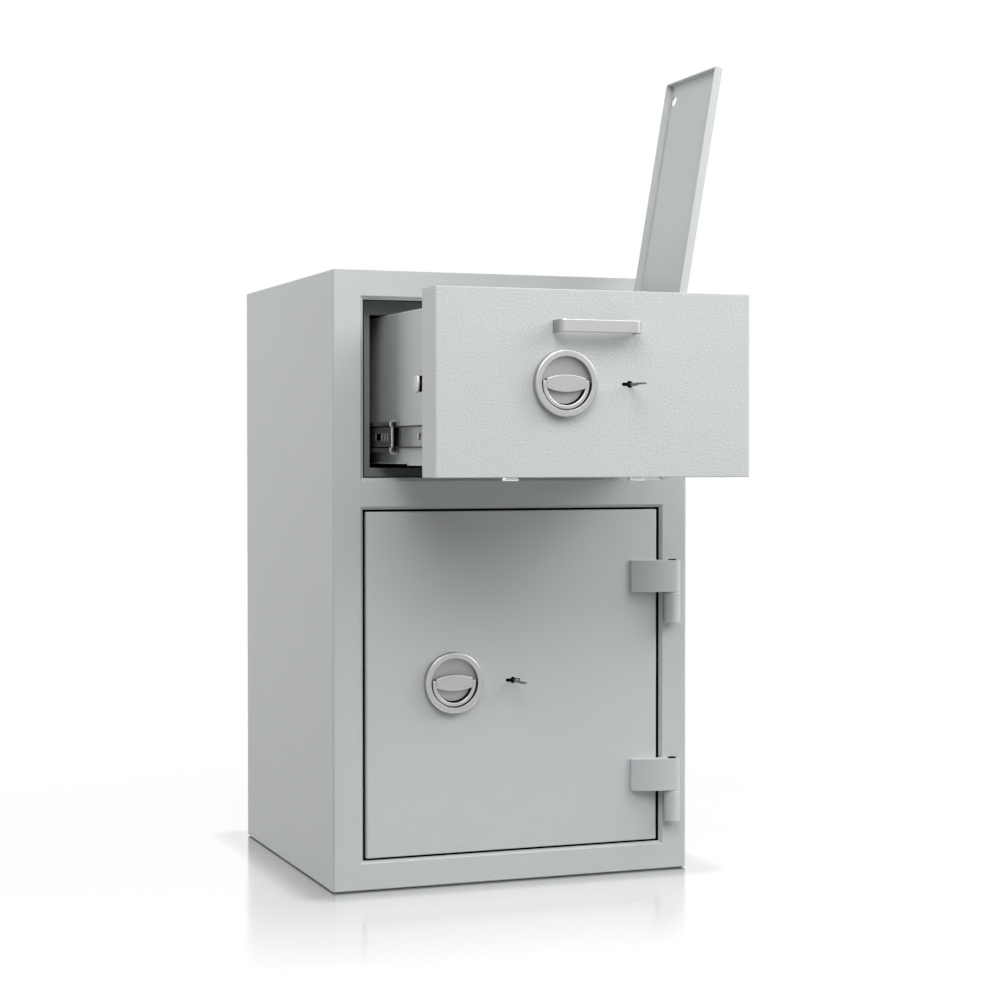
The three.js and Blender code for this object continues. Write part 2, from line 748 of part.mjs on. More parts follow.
function wellFrontWall() {
  return runAcross(polygon([
    [wellFront - sheet, trayFloor], [wellFront, trayFloor], [wellFront, ledgeTop - sheet],
    [wellFront + ledgeWidth, ledgeTop - sheet], [wellFront + ledgeWidth, ledgeTop],
    [wellFront, ledgeTop], [wellFront, coverTop], [wellFront - sheet, coverTop],
  ]), -sheetX, sheetX);
}

function wellRearWall() {
  const lip = trayFloor + sheet + seatGap;
  return runAcross(polygon([
    [wellRear + sheet, trayFloor], [wellRear + sheet, coverTop], [wellRear, coverTop],
    [wellRear, ledgeTop], [wellRear - ledgeWidth, ledgeTop], [wellRear - ledgeWidth, ledgeTop - sheet],
    [wellRear, ledgeTop - sheet], [wellRear, lip + sheet], [wellRear - flapLipWidth, lip + sheet],
    [wellRear - flapLipWidth, lip], [wellRear, lip], [wellRear, trayFloor],
  ]), -sheetX, sheetX);
}

function lockBayFloor() {
  const holes = [-lowerBoltX, lowerBoltX].map((x) => bar(
    'z', boltRadius + seatGap, trayFloor - overrun, trayFloor + overrun, x, boltY,
  ));
  const y1 = wellFront - sheet - seatGap;
  return cut(block(-sheetX, sheetX, plateBack + seatGap, y1, trayFloor, trayFloor + sheet), ...holes);
}

function drawerLowerBolts() {
  const nose = drawerBay.low + stopBottom - lowerBoltReach;
  const barLow = nose + lowerBoltLength - overrun;
  const rods = [-lowerBoltX, lowerBoltX].map((x) => (
    boltBody(lowerBoltLength).rotateX(Math.PI / 2).translate(x, boltY, nose)
  ));
  const crossbar = block(
    -lowerBoltX - boltRadius, lowerBoltX + boltRadius, boltY - tailThickness / 2, boltY + tailThickness / 2,
    barLow, barLow + crossbarHeight,
  );
  return join(...rods, crossbar);
}

// Hinged floor of the well: a plate rolled round its hinge rod
function dropFlap() {
  const outline = new THREE.Shape();
  const low = flapAxisZ - flapBarrelRadius;
  outline.moveTo(flapAxisY, low);
  outline.lineTo(wellRear - wellGap, low);
  outline.lineTo(wellRear - wellGap, low + sheet);
  const lift = Math.asin((flapBarrelRadius - sheet) / flapBarrelRadius);
  outline.lineTo(flapAxisY + flapBarrelRadius * Math.cos(lift), low + sheet);
  outline.absarc(flapAxisY, flapAxisZ, flapBarrelRadius, -lift, 1.5 * Math.PI);
  const bore = new THREE.Path();
  bore.absarc(flapAxisY, flapAxisZ, flapRodRadius + seatGap, 0, 2 * Math.PI);
  outline.holes.push(bore);
  return runAcross(outline, -sheetX, sheetX);
}

// Shallow folded lid, drawn shut about its hinge axis and turned to its open stop
function lid() {
  const half = lidDepth / 2;
  const outline = new THREE.Shape();
  outline.moveTo(-lidLength, -half);
  outline.lineTo(0, -half);
  outline.absarc(0, 0, half, -Math.PI / 2, Math.PI / 2);
  outline.lineTo(-lidLength, half);
  const bore = new THREE.Path();
  bore.absarc(0, 0, lidRodRadius + seatGap, 0, 2 * Math.PI);
  outline.holes.push(bore);
  const whole = join(
    block(-lidLength, 0, lidFront, lidRear, half - lidSheet, half),
    runBack(outline, lidFront, lidFront + lidSheet),
    runBack(outline, lidRear - lidSheet, lidRear),
    block(-lidLength, -lidLength + lidSheet, lidFront, lidRear, -half, half),
  );
  const hole = bar('z', lidHoleRadius, 0, lidDepth, lidHoleFromEnd - lidLength, lidRear - lidHoleFromRear);
  return cut(whole, hole);
}

// Door
function doorPanel() {
  const pan = raise(foldedPlan(plateX, front, front + doorPan, plateFold), doorPlate.low, doorPlate.high);
  return cut(pan, ...frontPlateCutters(doorKnobX, doorKeyX, doorLockZ, front, front + doorPan));
}

function doorCase() {
  const x = plateX - doorCaseInset;
  const body = block(
    -x, x, front + doorPan, plateBack, doorPlate.low + doorCaseInset, doorPlate.high - doorCaseInset,
  );
  return cut(body, ...frontPlateCutters(doorKnobX, doorKeyX, doorLockZ, front + doorPan, plateBack));
}

// Sheet cover over the door's boltwork, open towards the door, with holes for bolts and dogs
function boltCover() {
  const y0 = plateBack + seatGap;
  const y1 = plateBack + boltCaseDepth;
  const { low, high } = boltCase;
  const x = boltCaseX;
  const inside = block(
    -x + sheet, x - sheet, y0 - overrun, y1 - sheet, low + sheet, high - sheet,
  );
  const boltHoles = doorBoltHeights.map((z) => (
    bar('x', boltRadius + seatGap, -x - overrun, -x + overrun, boltY, z)
  ));
  const dogHoles = doorBoltHeights.map((z) => (
    bar('x', dogRadius + seatGap, x - overrun, x + overrun, boltY, z)
  ));
  return cut(block(-x, x, y0, y1, low, high), inside, ...boltHoles, ...dogHoles);
}

// Three bolts on one upright bar, drawn back so that the door is free to swing
function doorBolts() {
  const rods = doorBoltHeights.map((z) => (
    boltBody(boltLength).rotateZ(-Math.PI / 2).translate(-doorBoltNose, boltY, z)
  ));
  const barX = -doorBoltNose + boltLength;
  const upright = block(
    barX - boltBarWidth, barX, boltY - boltBarThickness / 2, boltY + boltBarThickness / 2,
    doorBoltHeights[0] - boltRadius, doorBoltHeights[2] + boltRadius,
  );
  return join(...rods, upright);
}

function doorDogs() {
  const nose = stopX + dogReach;
  const foot = nose - dogLength;
  const dogs = doorBoltHeights.map((z) => bar('x', dogRadius, foot, nose, boltY, z));
  const upright = block(
    foot, foot + boltBarWidth, boltY - boltBarThickness / 2, boltY + boltBarThickness / 2,
    doorBoltHeights[0] - dogRadius, doorBoltHeights[2] + dogRadius,
  );
  return join(...dogs, upright);
}

// Cast hinge leaf: flat against the door, bulging in front and bored round the pin
function hingeLeaf(knuckleBase) {
  const axisY = front - knuckleRadius;
  const barrel = knuckleRadius - seatGap;
  const low = knuckleBase + knuckleHeight + washerThickness + seatGap;
  const end = hingeAxisX - leafLength;
  const plan = new THREE.Shape();
  plan.moveTo(end, front);
  plan.lineTo(end, front - leafEndThickness);
  plan.quadraticCurveTo(hingeAxisX - leafLength / 2, axisY - barrel, hingeAxisX, axisY - barrel);
  plan.absarc(hingeAxisX, axisY, barrel, -Math.PI / 2, Math.PI / 2);
  plan.lineTo(plateX, front - seatGap);
  plan.lineTo(plateX, front);
  const corner = new THREE.Shape();
  corner.moveTo(end - overrun, low - overrun);
  corner.lineTo(end + leafCorner, low - overrun);
  corner.lineTo(end + leafCorner, low);
  corner.absarc(end + leafCorner, low + leafCorner, leafCorner, -Math.PI / 2, -Math.PI, true);
  corner.lineTo(end - overrun, low + leafCorner);
  return cut(
    raise(plan, low, low + leafHeight),
    bar('z', leafBore, low - overrun, low + leafHeight + overrun, hingeAxisX, axisY),
    runBack(corner, axisY - knuckleRadius, front + overrun),
  );
}

// The whole safe
const cabinet = assembly(
  piece('outer_jacket', outerJacket(), 'paint'),
  ...cabinetWalls(),
  piece('door_stop_frame', stopFrame(doorBay), 'paint'),
  piece('drawer_stop_frame', stopFrame(drawerBay), 'paint'),
  piece('drop_guard', dropGuard(), 'inside'),
  piece('hinge_knuckle_upper', hingeKnuckle(upperKnuckleBase), 'paint'),
  piece('hinge_knuckle_lower', hingeKnuckle(lowerKnuckleBase), 'paint'),
  piece('slide_bracket_left', slideBracket(-1), 'zinc'),
  piece('slide_bracket_right', slideBracket(1), 'zinc'),
  piece('slide_cabinet_left', slideCabinetMember(-1), 'zinc'),
  piece('slide_cabinet_right', slideCabinetMember(1), 'zinc'),
);

const middleMembers = assembly(
  piece('slide_middle_left', slideMiddleMember(-1), 'zinc'),
  piece('slide_middle_right', slideMiddleMember(1), 'zinc'),
  piece('slide_latch_left', slideLatch(-1), 'black'),
  piece('slide_latch_right', slideLatch(1), 'black'),
);
middleMembers.position.y = -drawerPull / 2;

const openLid = assembly(piece('tray_lid', lid(), 'paint'));
openLid.position.set(lidAxisX, 0, lidAxisZ);
openLid.rotation.y = Math.PI / 2 + lidLean;

const sideBoltNose = stopX + boltReach;
const bayCoverRear = wellFront - sheet - seatGap;
const hoodFront = wellRear + sheet + seatGap;
const hoodRear = trayRear - sheet - seatGap;

const drawer = assembly(
  piece('drawer_front', drawerFront(), 'paint'),
  piece('pull_handle', pullHandle(), 'satin'),
  piece('tray_side_left', traySide(-1, trayInnerX - lidEndGap + seatGap), 'paint'),
  piece('tray_side_right', traySide(1, lidStopX()), 'paint'),
  piece('lock_bay_floor', lockBayFloor(), 'paint'),
  piece('lock_bay_cover', block(
    -sheetX, sheetX, plateBack + seatGap, bayCoverRear, coverTop - sheet, coverTop,
  ), 'paint'),
  piece('well_front_wall', wellFrontWall(), 'paint'),
  piece('well_rear_wall', wellRearWall(), 'paint'),
  piece('hood_cover', block(-sheetX, sheetX, hoodFront, hoodRear, coverTop - sheet, coverTop), 'paint'),
  piece('hood_floor', block(-sheetX, sheetX, hoodFront, hoodRear, trayFloor, trayFloor + sheet), 'paint'),
  piece('hood_rear_wall', block(-sheetX, sheetX, trayRear - sheet, trayRear, trayFloor, coverTop), 'paint'),
  piece('slide_drawer_left', slideDrawerMember(-1), 'zinc'),
  piece('slide_drawer_right', slideDrawerMember(1), 'zinc'),
  piece('lid_hinge_rod', bar(
    'y', lidRodRadius, wellFront + seatGap, wellRear - seatGap, lidAxisX, lidAxisZ,
  ), 'steel'),
  piece('flap_hinge_rod', bar(
    'x', flapRodRadius, -trayInnerX + seatGap, trayInnerX - seatGap, flapAxisY, flapAxisZ,
  ), 'steel'),
  piece('drop_flap', dropFlap(), 'paint'),
  piece('drawer_lock', lockBody(drawerKeyX, drawerLockZ), 'steel'),
  piece('drawer_knob', knob(drawerKnobX, drawerLockZ), 'satin'),
  piece('drawer_spindle', spindle(drawerKnobX, drawerLockZ), 'steel'),
  piece('drawer_bail', bail(drawerKnobX, drawerLockZ), 'satin'),
  piece('drawer_key', key(drawerKeyX, drawerLockZ), 'steel'),
  piece('drawer_bolt_left', sideBolt(-1, drawerLockZ, sideBoltNose, drawerKnobX - tailInset), 'steel'),
  piece('drawer_bolt_right', sideBolt(1, drawerLockZ, sideBoltNose, drawerKnobX + tailInset), 'steel'),
  piece('drawer_bolts_lower', drawerLowerBolts(), 'steel'),
  openLid,
);
drawer.position.y = -drawerPull;

const door = assembly(
  piece('door_panel', doorPanel(), 'paint'),
  piece('door_case', doorCase(), 'paint'),
  piece('bolt_cover', boltCover(), 'inside'),
  piece('door_lock', lockBody(doorKeyX, doorLockZ), 'steel'),
  piece('door_dogs', doorDogs(), 'steel'),
  piece('hinge_leaf_upper', hingeLeaf(upperKnuckleBase), 'paint'),
  piece('hinge_leaf_lower', hingeLeaf(lowerKnuckleBase), 'paint'),
  piece('door_knob', knob(doorKnobX, doorLockZ), 'satin'),
  piece('door_spindle', spindle(doorKnobX, doorLockZ), 'steel'),
  piece('door_bail', bail(doorKnobX, doorLockZ), 'satin'),
  piece('door_key', key(doorKeyX, doorLockZ), 'steel'),
  piece('door_bolts', doorBolts(), 'steel'),
);

const group = assembly(cabinet, middleMembers, drawer, door);
group.name = 'drop_safe';

export default group;
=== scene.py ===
# %% [markdown]
# # A drop safe with a deposit drawer
# A steel cabinet stands on a pale floor. Its drawer is part way out with the tray lid swung up,
# and its door is shut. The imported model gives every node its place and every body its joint, so
# each cell below only adds what the eye needs: rounded edges, turned knobs, slides with their
# balls, and a finish for each metal.

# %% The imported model
import json
import math

import bmesh
import bpy
from mathutils import Matrix, Vector


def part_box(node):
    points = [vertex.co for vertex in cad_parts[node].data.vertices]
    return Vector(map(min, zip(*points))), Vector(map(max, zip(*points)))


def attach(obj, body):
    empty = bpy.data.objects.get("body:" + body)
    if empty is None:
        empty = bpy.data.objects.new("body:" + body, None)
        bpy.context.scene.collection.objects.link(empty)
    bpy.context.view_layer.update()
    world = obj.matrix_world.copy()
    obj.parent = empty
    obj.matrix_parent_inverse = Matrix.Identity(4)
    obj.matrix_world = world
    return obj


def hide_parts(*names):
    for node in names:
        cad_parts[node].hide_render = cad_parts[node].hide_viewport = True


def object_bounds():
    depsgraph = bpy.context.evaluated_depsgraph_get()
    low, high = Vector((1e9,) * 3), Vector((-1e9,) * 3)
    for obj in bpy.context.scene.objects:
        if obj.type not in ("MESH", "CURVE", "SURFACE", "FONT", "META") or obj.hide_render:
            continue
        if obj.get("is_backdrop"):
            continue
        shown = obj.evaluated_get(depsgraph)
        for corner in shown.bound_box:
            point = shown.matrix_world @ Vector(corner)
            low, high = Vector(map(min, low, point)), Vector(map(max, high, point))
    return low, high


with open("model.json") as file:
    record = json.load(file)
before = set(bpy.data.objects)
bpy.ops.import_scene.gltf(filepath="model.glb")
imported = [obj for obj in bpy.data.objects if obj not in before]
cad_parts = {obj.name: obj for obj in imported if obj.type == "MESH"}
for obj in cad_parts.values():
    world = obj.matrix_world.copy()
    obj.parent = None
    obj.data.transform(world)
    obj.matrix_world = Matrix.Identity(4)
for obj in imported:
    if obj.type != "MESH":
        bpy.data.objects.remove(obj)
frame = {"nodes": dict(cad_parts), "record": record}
cad_low, cad_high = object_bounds()
nodes = frame["nodes"]
mm = 0.001
cabinet_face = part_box("door_panel")[0].y
print(f"{len(nodes)} nodes, cabinet face at {cabinet_face:.3f}")

# %% [markdown]
# ## Camera
# A long lens a little above the middle of the cabinet, turned nearly a quarter of a right angle
# from straight ahead. The numbers come from straight edges of the cabinet, the drawer front and
# the lid, which a camera solve turns into a place, three angles and a focal length.

# %% Camera
focal_over_width = 2.133246
sensor_width = 36.0
eye = Vector((-1.012052, -2.850665, 0.562794))
yaw, pitch, roll = (math.radians(a) for a in (20.67255, -1.20728, 0.00901))

look = Vector((math.sin(yaw) * math.cos(pitch), math.cos(yaw) * math.cos(pitch), math.sin(pitch)))
level = Vector((math.cos(yaw), -math.sin(yaw), 0))
upright = level.cross(look)
right = math.cos(roll) * level + math.sin(roll) * upright
up = math.cos(roll) * upright - math.sin(roll) * level

bpy.ops.object.camera_add()
camera = bpy.context.object
camera.matrix_world = Matrix.Translation(eye) @ Matrix((right, up, -look)).transposed().to_4x4()
camera.data.sensor_width = sensor_width
camera.data.lens = focal_over_width * sensor_width
camera.data.clip_end = 60
bpy.context.scene.camera = camera
bpy.context.scene.view_settings.view_transform = "Standard"
print(f"lens {camera.data.lens:.2f} mm")


# %% [markdown]
# ## Shader maths
# A finish is a small tree of nodes. Writing it as sums and products keeps it readable, so one
# class wraps a socket and adds a Math node for each sign, and another makes any other node.

# %% Shader maths
class Wire:
    """A socket of a tree; arithmetic on it adds Math nodes."""

    def __init__(self, finish, socket):
        self.finish, self.socket = finish, socket

    def maths(self, operation, *values):
        return self.finish.node("ShaderNodeMath", dict(enumerate(values)), {"operation": operation})

    def __add__(self, other):
        return self.maths("ADD", self, other)

    def __sub__(self, other):
        return self.maths("SUBTRACT", self, other)

    def __mul__(self, other):
        return self.maths("MULTIPLY", self, other)

    def __gt__(self, other):
        return self.maths("GREATER_THAN", self, other)

    def larger(self, other):
        return self.maths("MAXIMUM", self, other)

    def root(self):
        return self.maths("SQRT", self)

    def absolute(self):
        return self.maths("ABSOLUTE", self)


class Finish:
    """The tree of nodes of a material or a world, under construction."""

    def __init__(self, owner, end="ShaderNodeOutputMaterial"):
        self.owner, self.end = owner, end
        owner.use_nodes = True
        self.tree = owner.node_tree
        self.tree.nodes.clear()

    def node(self, kind, values=None, settings=None, out=0):
        made = self.tree.nodes.new(kind)
        for key, value in (settings or {}).items():
            setattr(made, key, value)
        for key, value in (values or {}).items():
            if isinstance(value, Wire):
                self.tree.links.new(value.socket, made.inputs[key])
            else:
                made.inputs[key].default_value = value
        return Wire(self, made.outputs[out])

    def place(self):
        return self.node("ShaderNodeTexCoord", out="Object")

    def place_on(self, axis):
        return self.node("ShaderNodeSeparateXYZ", {"Vector": self.place()}, out=axis)

    def stretched(self, scale):
        return self.node("ShaderNodeMapping", {"Vector": self.place(), "Scale": scale})

    def noise(self, scale, detail=2.0, roughness=0.5, vector=None):
        return self.node("ShaderNodeTexNoise", {
            "Vector": vector or self.place(), "Scale": scale, "Detail": detail, "Roughness": roughness,
        })

    def blend(self, amount, first, second):
        """A colour between two colours."""
        values = {"Factor": amount, 6: first, 7: second}
        return self.node("ShaderNodeMix", values, {"data_type": "RGBA"}, out=2)

    def bump(self, height):
        """A bump from a height in millimetres."""
        return self.node("ShaderNodeBump", {"Height": height, "Distance": mm, "Strength": 1.0})

    def mixed(self, share, first, second):
        """A shader between two shaders."""
        return self.node("ShaderNodeMixShader", {0: share, 1: first, 2: second})

    def surface(self, **values):
        """Closes a material with one Principled shader; underscores stand for spaces."""
        named = {key.replace("_", " "): value for key, value in values.items()}
        return self.close(self.node("ShaderNodeBsdfPrincipled", named))

    def close(self, shader):
        end = self.tree.nodes.new(self.end)
        self.tree.links.new(shader.socket, end.inputs["Surface"])
        return self.owner


def new_finish(name):
    return Finish(bpy.data.materials.new(name))


def shade(*display):
    """A colour as shader values, from display values of 0 to 255."""
    def linear(value):
        v = value / 255
        return v / 12.92 if v <= 0.04045 else ((v + 0.055) / 1.055) ** 2.4
    return tuple(map(linear, display)) + (1.0,)


def times(colour, factor):
    """A colour made paler or deeper."""
    return tuple(min(1.0, c * factor) for c in colour[:3]) + (1.0,)


# %% [markdown]
# ## Powder coat
# The sheet is covered with a light grey powder that melts into a skin with a fine orange peel:
# soft humps two or three millimetres across, with a finer grain between them. Both are bump, and
# the colour drifts by a few percent, as a baked coat does.

# %% Powder coat
def powder_coat(name, colour, hump=0.03, grain=0.012, roughness=0.48, front=1.0):
    """A coat whose texture can be some times deeper on the front face of the cabinet."""
    finish = new_finish(name)
    humps = finish.noise(360.0, 2.0, 0.55, finish.stretched((0.7, 1, 1)))
    fine = finish.noise(1100.0, 2.0, 0.6)
    drift = finish.noise(9.0, 3.0, 0.5)
    height = humps * hump + fine * grain
    if front > 1:
        on_front = (finish.place_on("Y") * -1) > (-cabinet_face - 2 * mm)
        height = height * (on_front * (front - 1) + 1)
    return finish.surface(
        Base_Color=finish.blend(drift * 0.6 + humps * 0.4, times(colour, 0.97), times(colour, 1.03)),
        Roughness=humps * 0.12 + (roughness - 0.06),
        Metallic=0.0,
        Specular_IOR_Level=0.22,
        Normal=finish.bump(height),
    )


light_grey = shade(203, 206, 207)
paint = powder_coat("powder_coat", light_grey, front=3.0)
jacket_paint = powder_coat("powder_coat_jacket", light_grey, front=12.0)
front_paint = powder_coat("powder_coat_front", light_grey, hump=0.7, grain=0.08)
tray_paint = powder_coat("powder_coat_tray", shade(196, 199, 200), hump=0.45, grain=0.05)
# Painted shade: the stop frames' coat is darker, as the shadow inside the openings.
stop_paint_shaded = powder_coat("powder_coat_stop_shaded", shade(146, 149, 150), roughness=0.5)
inside_paint = powder_coat("inside_coat", shade(186, 189, 190), roughness=0.5)
coats = (paint, jacket_paint, front_paint, tray_paint, stop_paint_shaded)
print("coats:", *(coat.name for coat in coats), inside_paint.name)


# %% [markdown]
# ## Bare metals and black parts
# Satin metal has a soft sheen from fine scratches. The handle's run along it, and the other
# metals' hardly show a direction. The slides are zinc plated and show a faint cloudy spangle;
# their front ends are a paler zinc, a painted highlight, and the balls a darker steel, painted
# shade. Bolts and keys are bright steel, and the lower bolts a paler steel still, a painted
# highlight. Cages and levers are a dull moulded black. The seals, plugs, sleeves, discs and strips
# in black are painted shade: black put where gaps and hollows lie in shadow.

# %% Bare metals and black parts
def satin_metal(name, colour, roughness, scratch_scale, depth=0.006):
    finish = new_finish(name)
    scratches = finish.noise(1.0, 3.0, 0.6, finish.stretched(scratch_scale))
    cloud = finish.noise(60.0, 2.0, 0.5)
    return finish.surface(
        Base_Color=finish.blend(cloud, times(colour, 0.93), times(colour, 1.05)),
        Roughness=scratches * 0.14 + (roughness - 0.07),
        Metallic=1.0,
        Normal=finish.bump(scratches * depth),
    )


def zinc_plate(name, colour, roughness):
    finish = new_finish(name)
    cells = finish.node("ShaderNodeTexVoronoi", {"Vector": finish.place(), "Scale": 260.0})
    cloud = finish.noise(90.0, 3.0, 0.6)
    return finish.surface(
        Base_Color=finish.blend(cells * 0.35 + cloud * 0.65, times(colour, 0.86), times(colour, 1.1)),
        Roughness=cloud * 0.2 + (roughness - 0.1),
        Metallic=0.9,
        Normal=finish.bump(finish.noise(800.0) * 0.006),
    )


def dull_black_and_painted_shade(name, colour, roughness, shine=0.15):
    finish = new_finish(name)
    grain = finish.noise(900.0, 2.0, 0.6)
    return finish.surface(
        Base_Color=finish.blend(grain, times(colour, 0.8), colour),
        Roughness=grain * 0.15 + (roughness - 0.08),
        Specular_IOR_Level=shine,
        Normal=finish.bump(grain * 0.02),
    )


satin = satin_metal("satin_nickel", shade(173, 173, 173), 0.34, (700.0, 700.0, 700.0), 0.003)
blasted = satin_metal("blasted_nickel", shade(150, 150, 150), 0.55, (700.0, 700.0, 700.0), 0.004)
brushed = satin_metal("brushed_handle", shade(172, 171, 171), 0.38, (50.0, 900.0, 900.0))
zinc = zinc_plate("zinc_plate", shade(150, 152, 153), 0.36)
steel = satin_metal("turned_steel", shade(158, 160, 160), 0.3, (120.0, 900.0, 900.0))
# Painted highlight: a paler copy of the turned steel, for the lower bolts only.
steel_painted_bright = satin_metal("steel_painted_bright", shade(222, 224, 224), 0.3, (900.0, 900.0, 120.0))
# Painted shade: a darker steel for the balls, which sit in the shadow inside the slides.
ball_steel_painted_shade = satin_metal("ball_steel_painted_shade", shade(84, 85, 86), 0.2, (900.0, 900.0, 900.0))
# Painted highlight: a paler copy of the zinc for the slides' front ends and tabs, which catch the
# light.
zinc_painted_bright = zinc_plate("zinc_painted_bright", shade(206, 208, 208), 0.3)
key_metal = satin_metal("key_nickel", shade(122, 123, 124), 0.26, (900.0, 200.0, 900.0))
# Painted shade: this dull black is used only for strips that stand for shadow, on the drawer's reveal
# and along the slides.
black = dull_black_and_painted_shade("dull_black_and_painted_shade", shade(34, 35, 36), 0.55)
# Near-black rubber: real on the ball cages and latch levers, and painted shade on the door's reveal
# strip, the keyhole discs, the bail's half rings, the hinge plugs and the bolt sleeves.
black_rubber_and_shade = dull_black_and_painted_shade("rubber_and_painted_shade", shade(4, 4, 4), 0.85, 0.04)
finishes = {
    "paint": coats, "inside": (inside_paint,), "satin": (satin, blasted, brushed),
    "zinc": (zinc, zinc_painted_bright), "steel": (steel, steel_painted_bright, ball_steel_painted_shade, key_metal),
    "black": (black, black_rubber_and_shade),
}
slot_of_node = {part["node"]: part["material_slot"] for part in frame["record"]["subparts"]}
for name, node in nodes.items():
    node.data.materials.clear()
    node.data.materials.append(finishes[slot_of_node[name]][0])
print("finishes on", len(nodes), "nodes")


# %% [markdown]
# ## Tools for the pieces
# Each tool is a few operators that a modeller would use by hand: select, shape, apply. They take
# millimetres, as the drawings of such a safe do, and leave the place in the mesh.

# %% Tools for the pieces
past = 5  # how far a cutter runs past what it cuts
near = 0.01  # how close to a plane an edge counts as lying in it
body_of_node = {
    node: body for body, members in frame["record"]["behaviour"]["bodies"].items() for node in members
}


def only(piece):
    """Selects one piece and nothing else."""
    bpy.ops.object.select_all(action="DESELECT")
    piece.select_set(True)
    bpy.context.view_layer.objects.active = piece
    return piece


def added(operator, **settings):
    """What an operator adds while nothing is selected."""
    bpy.ops.object.select_all(action="DESELECT")
    operator(**settings)
    return bpy.context.object


def applied(piece):
    """Takes a piece's place, turn and size into its mesh."""
    only(piece)
    bpy.ops.object.transform_apply(location=True, rotation=True, scale=True)
    return piece


def edit(piece, *steps):
    """Runs steps on the whole of a piece in edit mode."""
    only(piece)
    bpy.ops.object.mode_set(mode="EDIT")
    for step in steps:
        bpy.ops.mesh.select_all(action="SELECT")
        step()
    bpy.ops.object.mode_set(mode="OBJECT")
    return piece


def reshape(piece, kind, test, change):
    """Makes a change to the faces or edges whose middle, in millimetres, passes a test."""
    only(piece)
    bpy.ops.object.mode_set(mode="EDIT")
    mesh = bmesh.from_edit_mesh(piece.data)
    bpy.ops.mesh.select_mode(type=kind)
    bpy.ops.mesh.select_all(action="DESELECT")
    for part in (mesh.faces if kind == "FACE" else mesh.edges):
        middle = sum((v.co for v in part.verts), Vector()) / len(part.verts) / mm
        along = part.normal if kind == "FACE" else (part.verts[1].co - part.verts[0].co).normalized()
        part.select_set(bool(test(middle, along)))
    bmesh.update_edit_mesh(piece.data)
    change()
    bpy.ops.object.mode_set(mode="OBJECT")
    return piece


def facing_front(middle, normal):
    return normal.y < -0.9


def folded(piece, radius, segments, test):
    """Rounds the edges that pass a test."""
    size = {"offset": radius * mm, "segments": segments}
    return reshape(piece, "EDGE", test, lambda: bpy.ops.mesh.bevel(affect="EDGES", **size))


def modify(piece, kind, **settings):
    """Adds a modifier and applies it."""
    only(piece)
    bpy.ops.object.modifier_add(type=kind)
    modifier = piece.modifiers[-1]
    for key, value in settings.items():
        setattr(modifier, key, value)
    bpy.ops.object.modifier_apply(modifier=modifier.name)
    return piece


def smooth(piece, angle=32):
    only(piece)
    bpy.ops.object.shade_smooth_by_angle(angle=math.radians(angle))
    return piece


def soften(piece, width, segments=2, angle=35):
    """Rounds the edges that are sharper than an angle, and keeps the flat faces flat."""
    smooth(piece, angle)
    return modify(
        piece, "BEVEL", width=width * mm, segments=segments, limit_method="ANGLE",
        angle_limit=math.radians(angle), harden_normals=True, miter_outer="MITER_ARC",
    )


def facing_out():
    bpy.ops.mesh.normals_make_consistent(inside=False)


def merged():
    bpy.ops.mesh.remove_doubles(threshold=0.002 * mm)


def flat_faces_joined():
    bpy.ops.mesh.dissolve_limited(angle_limit=math.radians(0.5))


def dress(piece, name, finish, body, *replaced):
    """Names a piece, gives it its finish and body, and hides the nodes it stands for."""
    modify(smooth(piece), "WEIGHTED_NORMAL", keep_sharp=True)
    piece.name = piece.data.name = name
    piece.data.materials.clear()
    piece.data.materials.append(finish)
    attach(piece, body)
    if replaced:
        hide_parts(*replaced)
    return piece


def stand_in(piece, node, ending, finish):
    """Dresses a piece that stands for one node and is named after it."""
    return dress(piece, node + ending, finish, body_of_node[node], node)


def joined(first, *others):
    """One object from several."""
    only(first)
    for other in others:
        other.select_set(True)
    bpy.ops.object.join()
    return first


def combined(piece, operation, *others):
    """Adds or takes away other pieces, and removes them."""
    for other in others:
        modify(piece, "BOOLEAN", operation=operation, solver="EXACT", object=other)
        bpy.data.objects.remove(other)
    return piece


def cut_out(piece, *cutters):
    return combined(piece, "DIFFERENCE", *cutters)


def fused(piece, *others):
    return combined(piece, "UNION", *others)


def copied(piece, offset):
    """A copy with its own mesh, moved by an offset that goes into the mesh."""
    only(piece)
    bpy.ops.object.duplicate()
    copy = bpy.context.object
    copy.location = Vector(offset) * mm
    return applied(copy)


def block(low, high):
    """A cube primitive at its size and place."""
    low, high = Vector(low) * mm, Vector(high) * mm
    place = {"location": (low + high) / 2, "scale": high - low}
    return applied(added(bpy.ops.mesh.primitive_cube_add, size=1, **place))


def arc(u, v, radius, start, end, steps=8):
    """Points along an arc, in degrees."""
    turns = [math.radians(start + (end - start) * i / steps) for i in range(steps + 1)]
    return [(u + radius * math.cos(t), v + radius * math.sin(t)) for t in turns]


def rounded(corners, steps=4):
    """An outline from corners (u, v, radius), with each corner rounded."""
    outline = []
    for i, (u, v, radius) in enumerate(corners):
        corner = Vector((u, v))
        if not radius:
            outline.append((u, v))
            continue
        before = (Vector(corners[i - 1][:2]) - corner).normalized()
        after = (Vector(corners[(i + 1) % len(corners)][:2]) - corner).normalized()
        half = before.angle(after) / 2
        centre = corner + (before + after).normalized() * (radius / math.sin(half))
        first = corner + before * (radius / math.tan(half)) - centre
        last = corner + after * (radius / math.tan(half)) - centre
        for k in range(steps + 1):
            outline.append(tuple(centre + first.lerp(last, k / steps).normalized() * radius))
    return outline


def across(axis, u, v, w):
    """The place with w along an axis and u and v across it."""
    return Vector({"x": (w, u, v), "y": (u, w, v), "z": (u, v, w)}[axis]) * mm


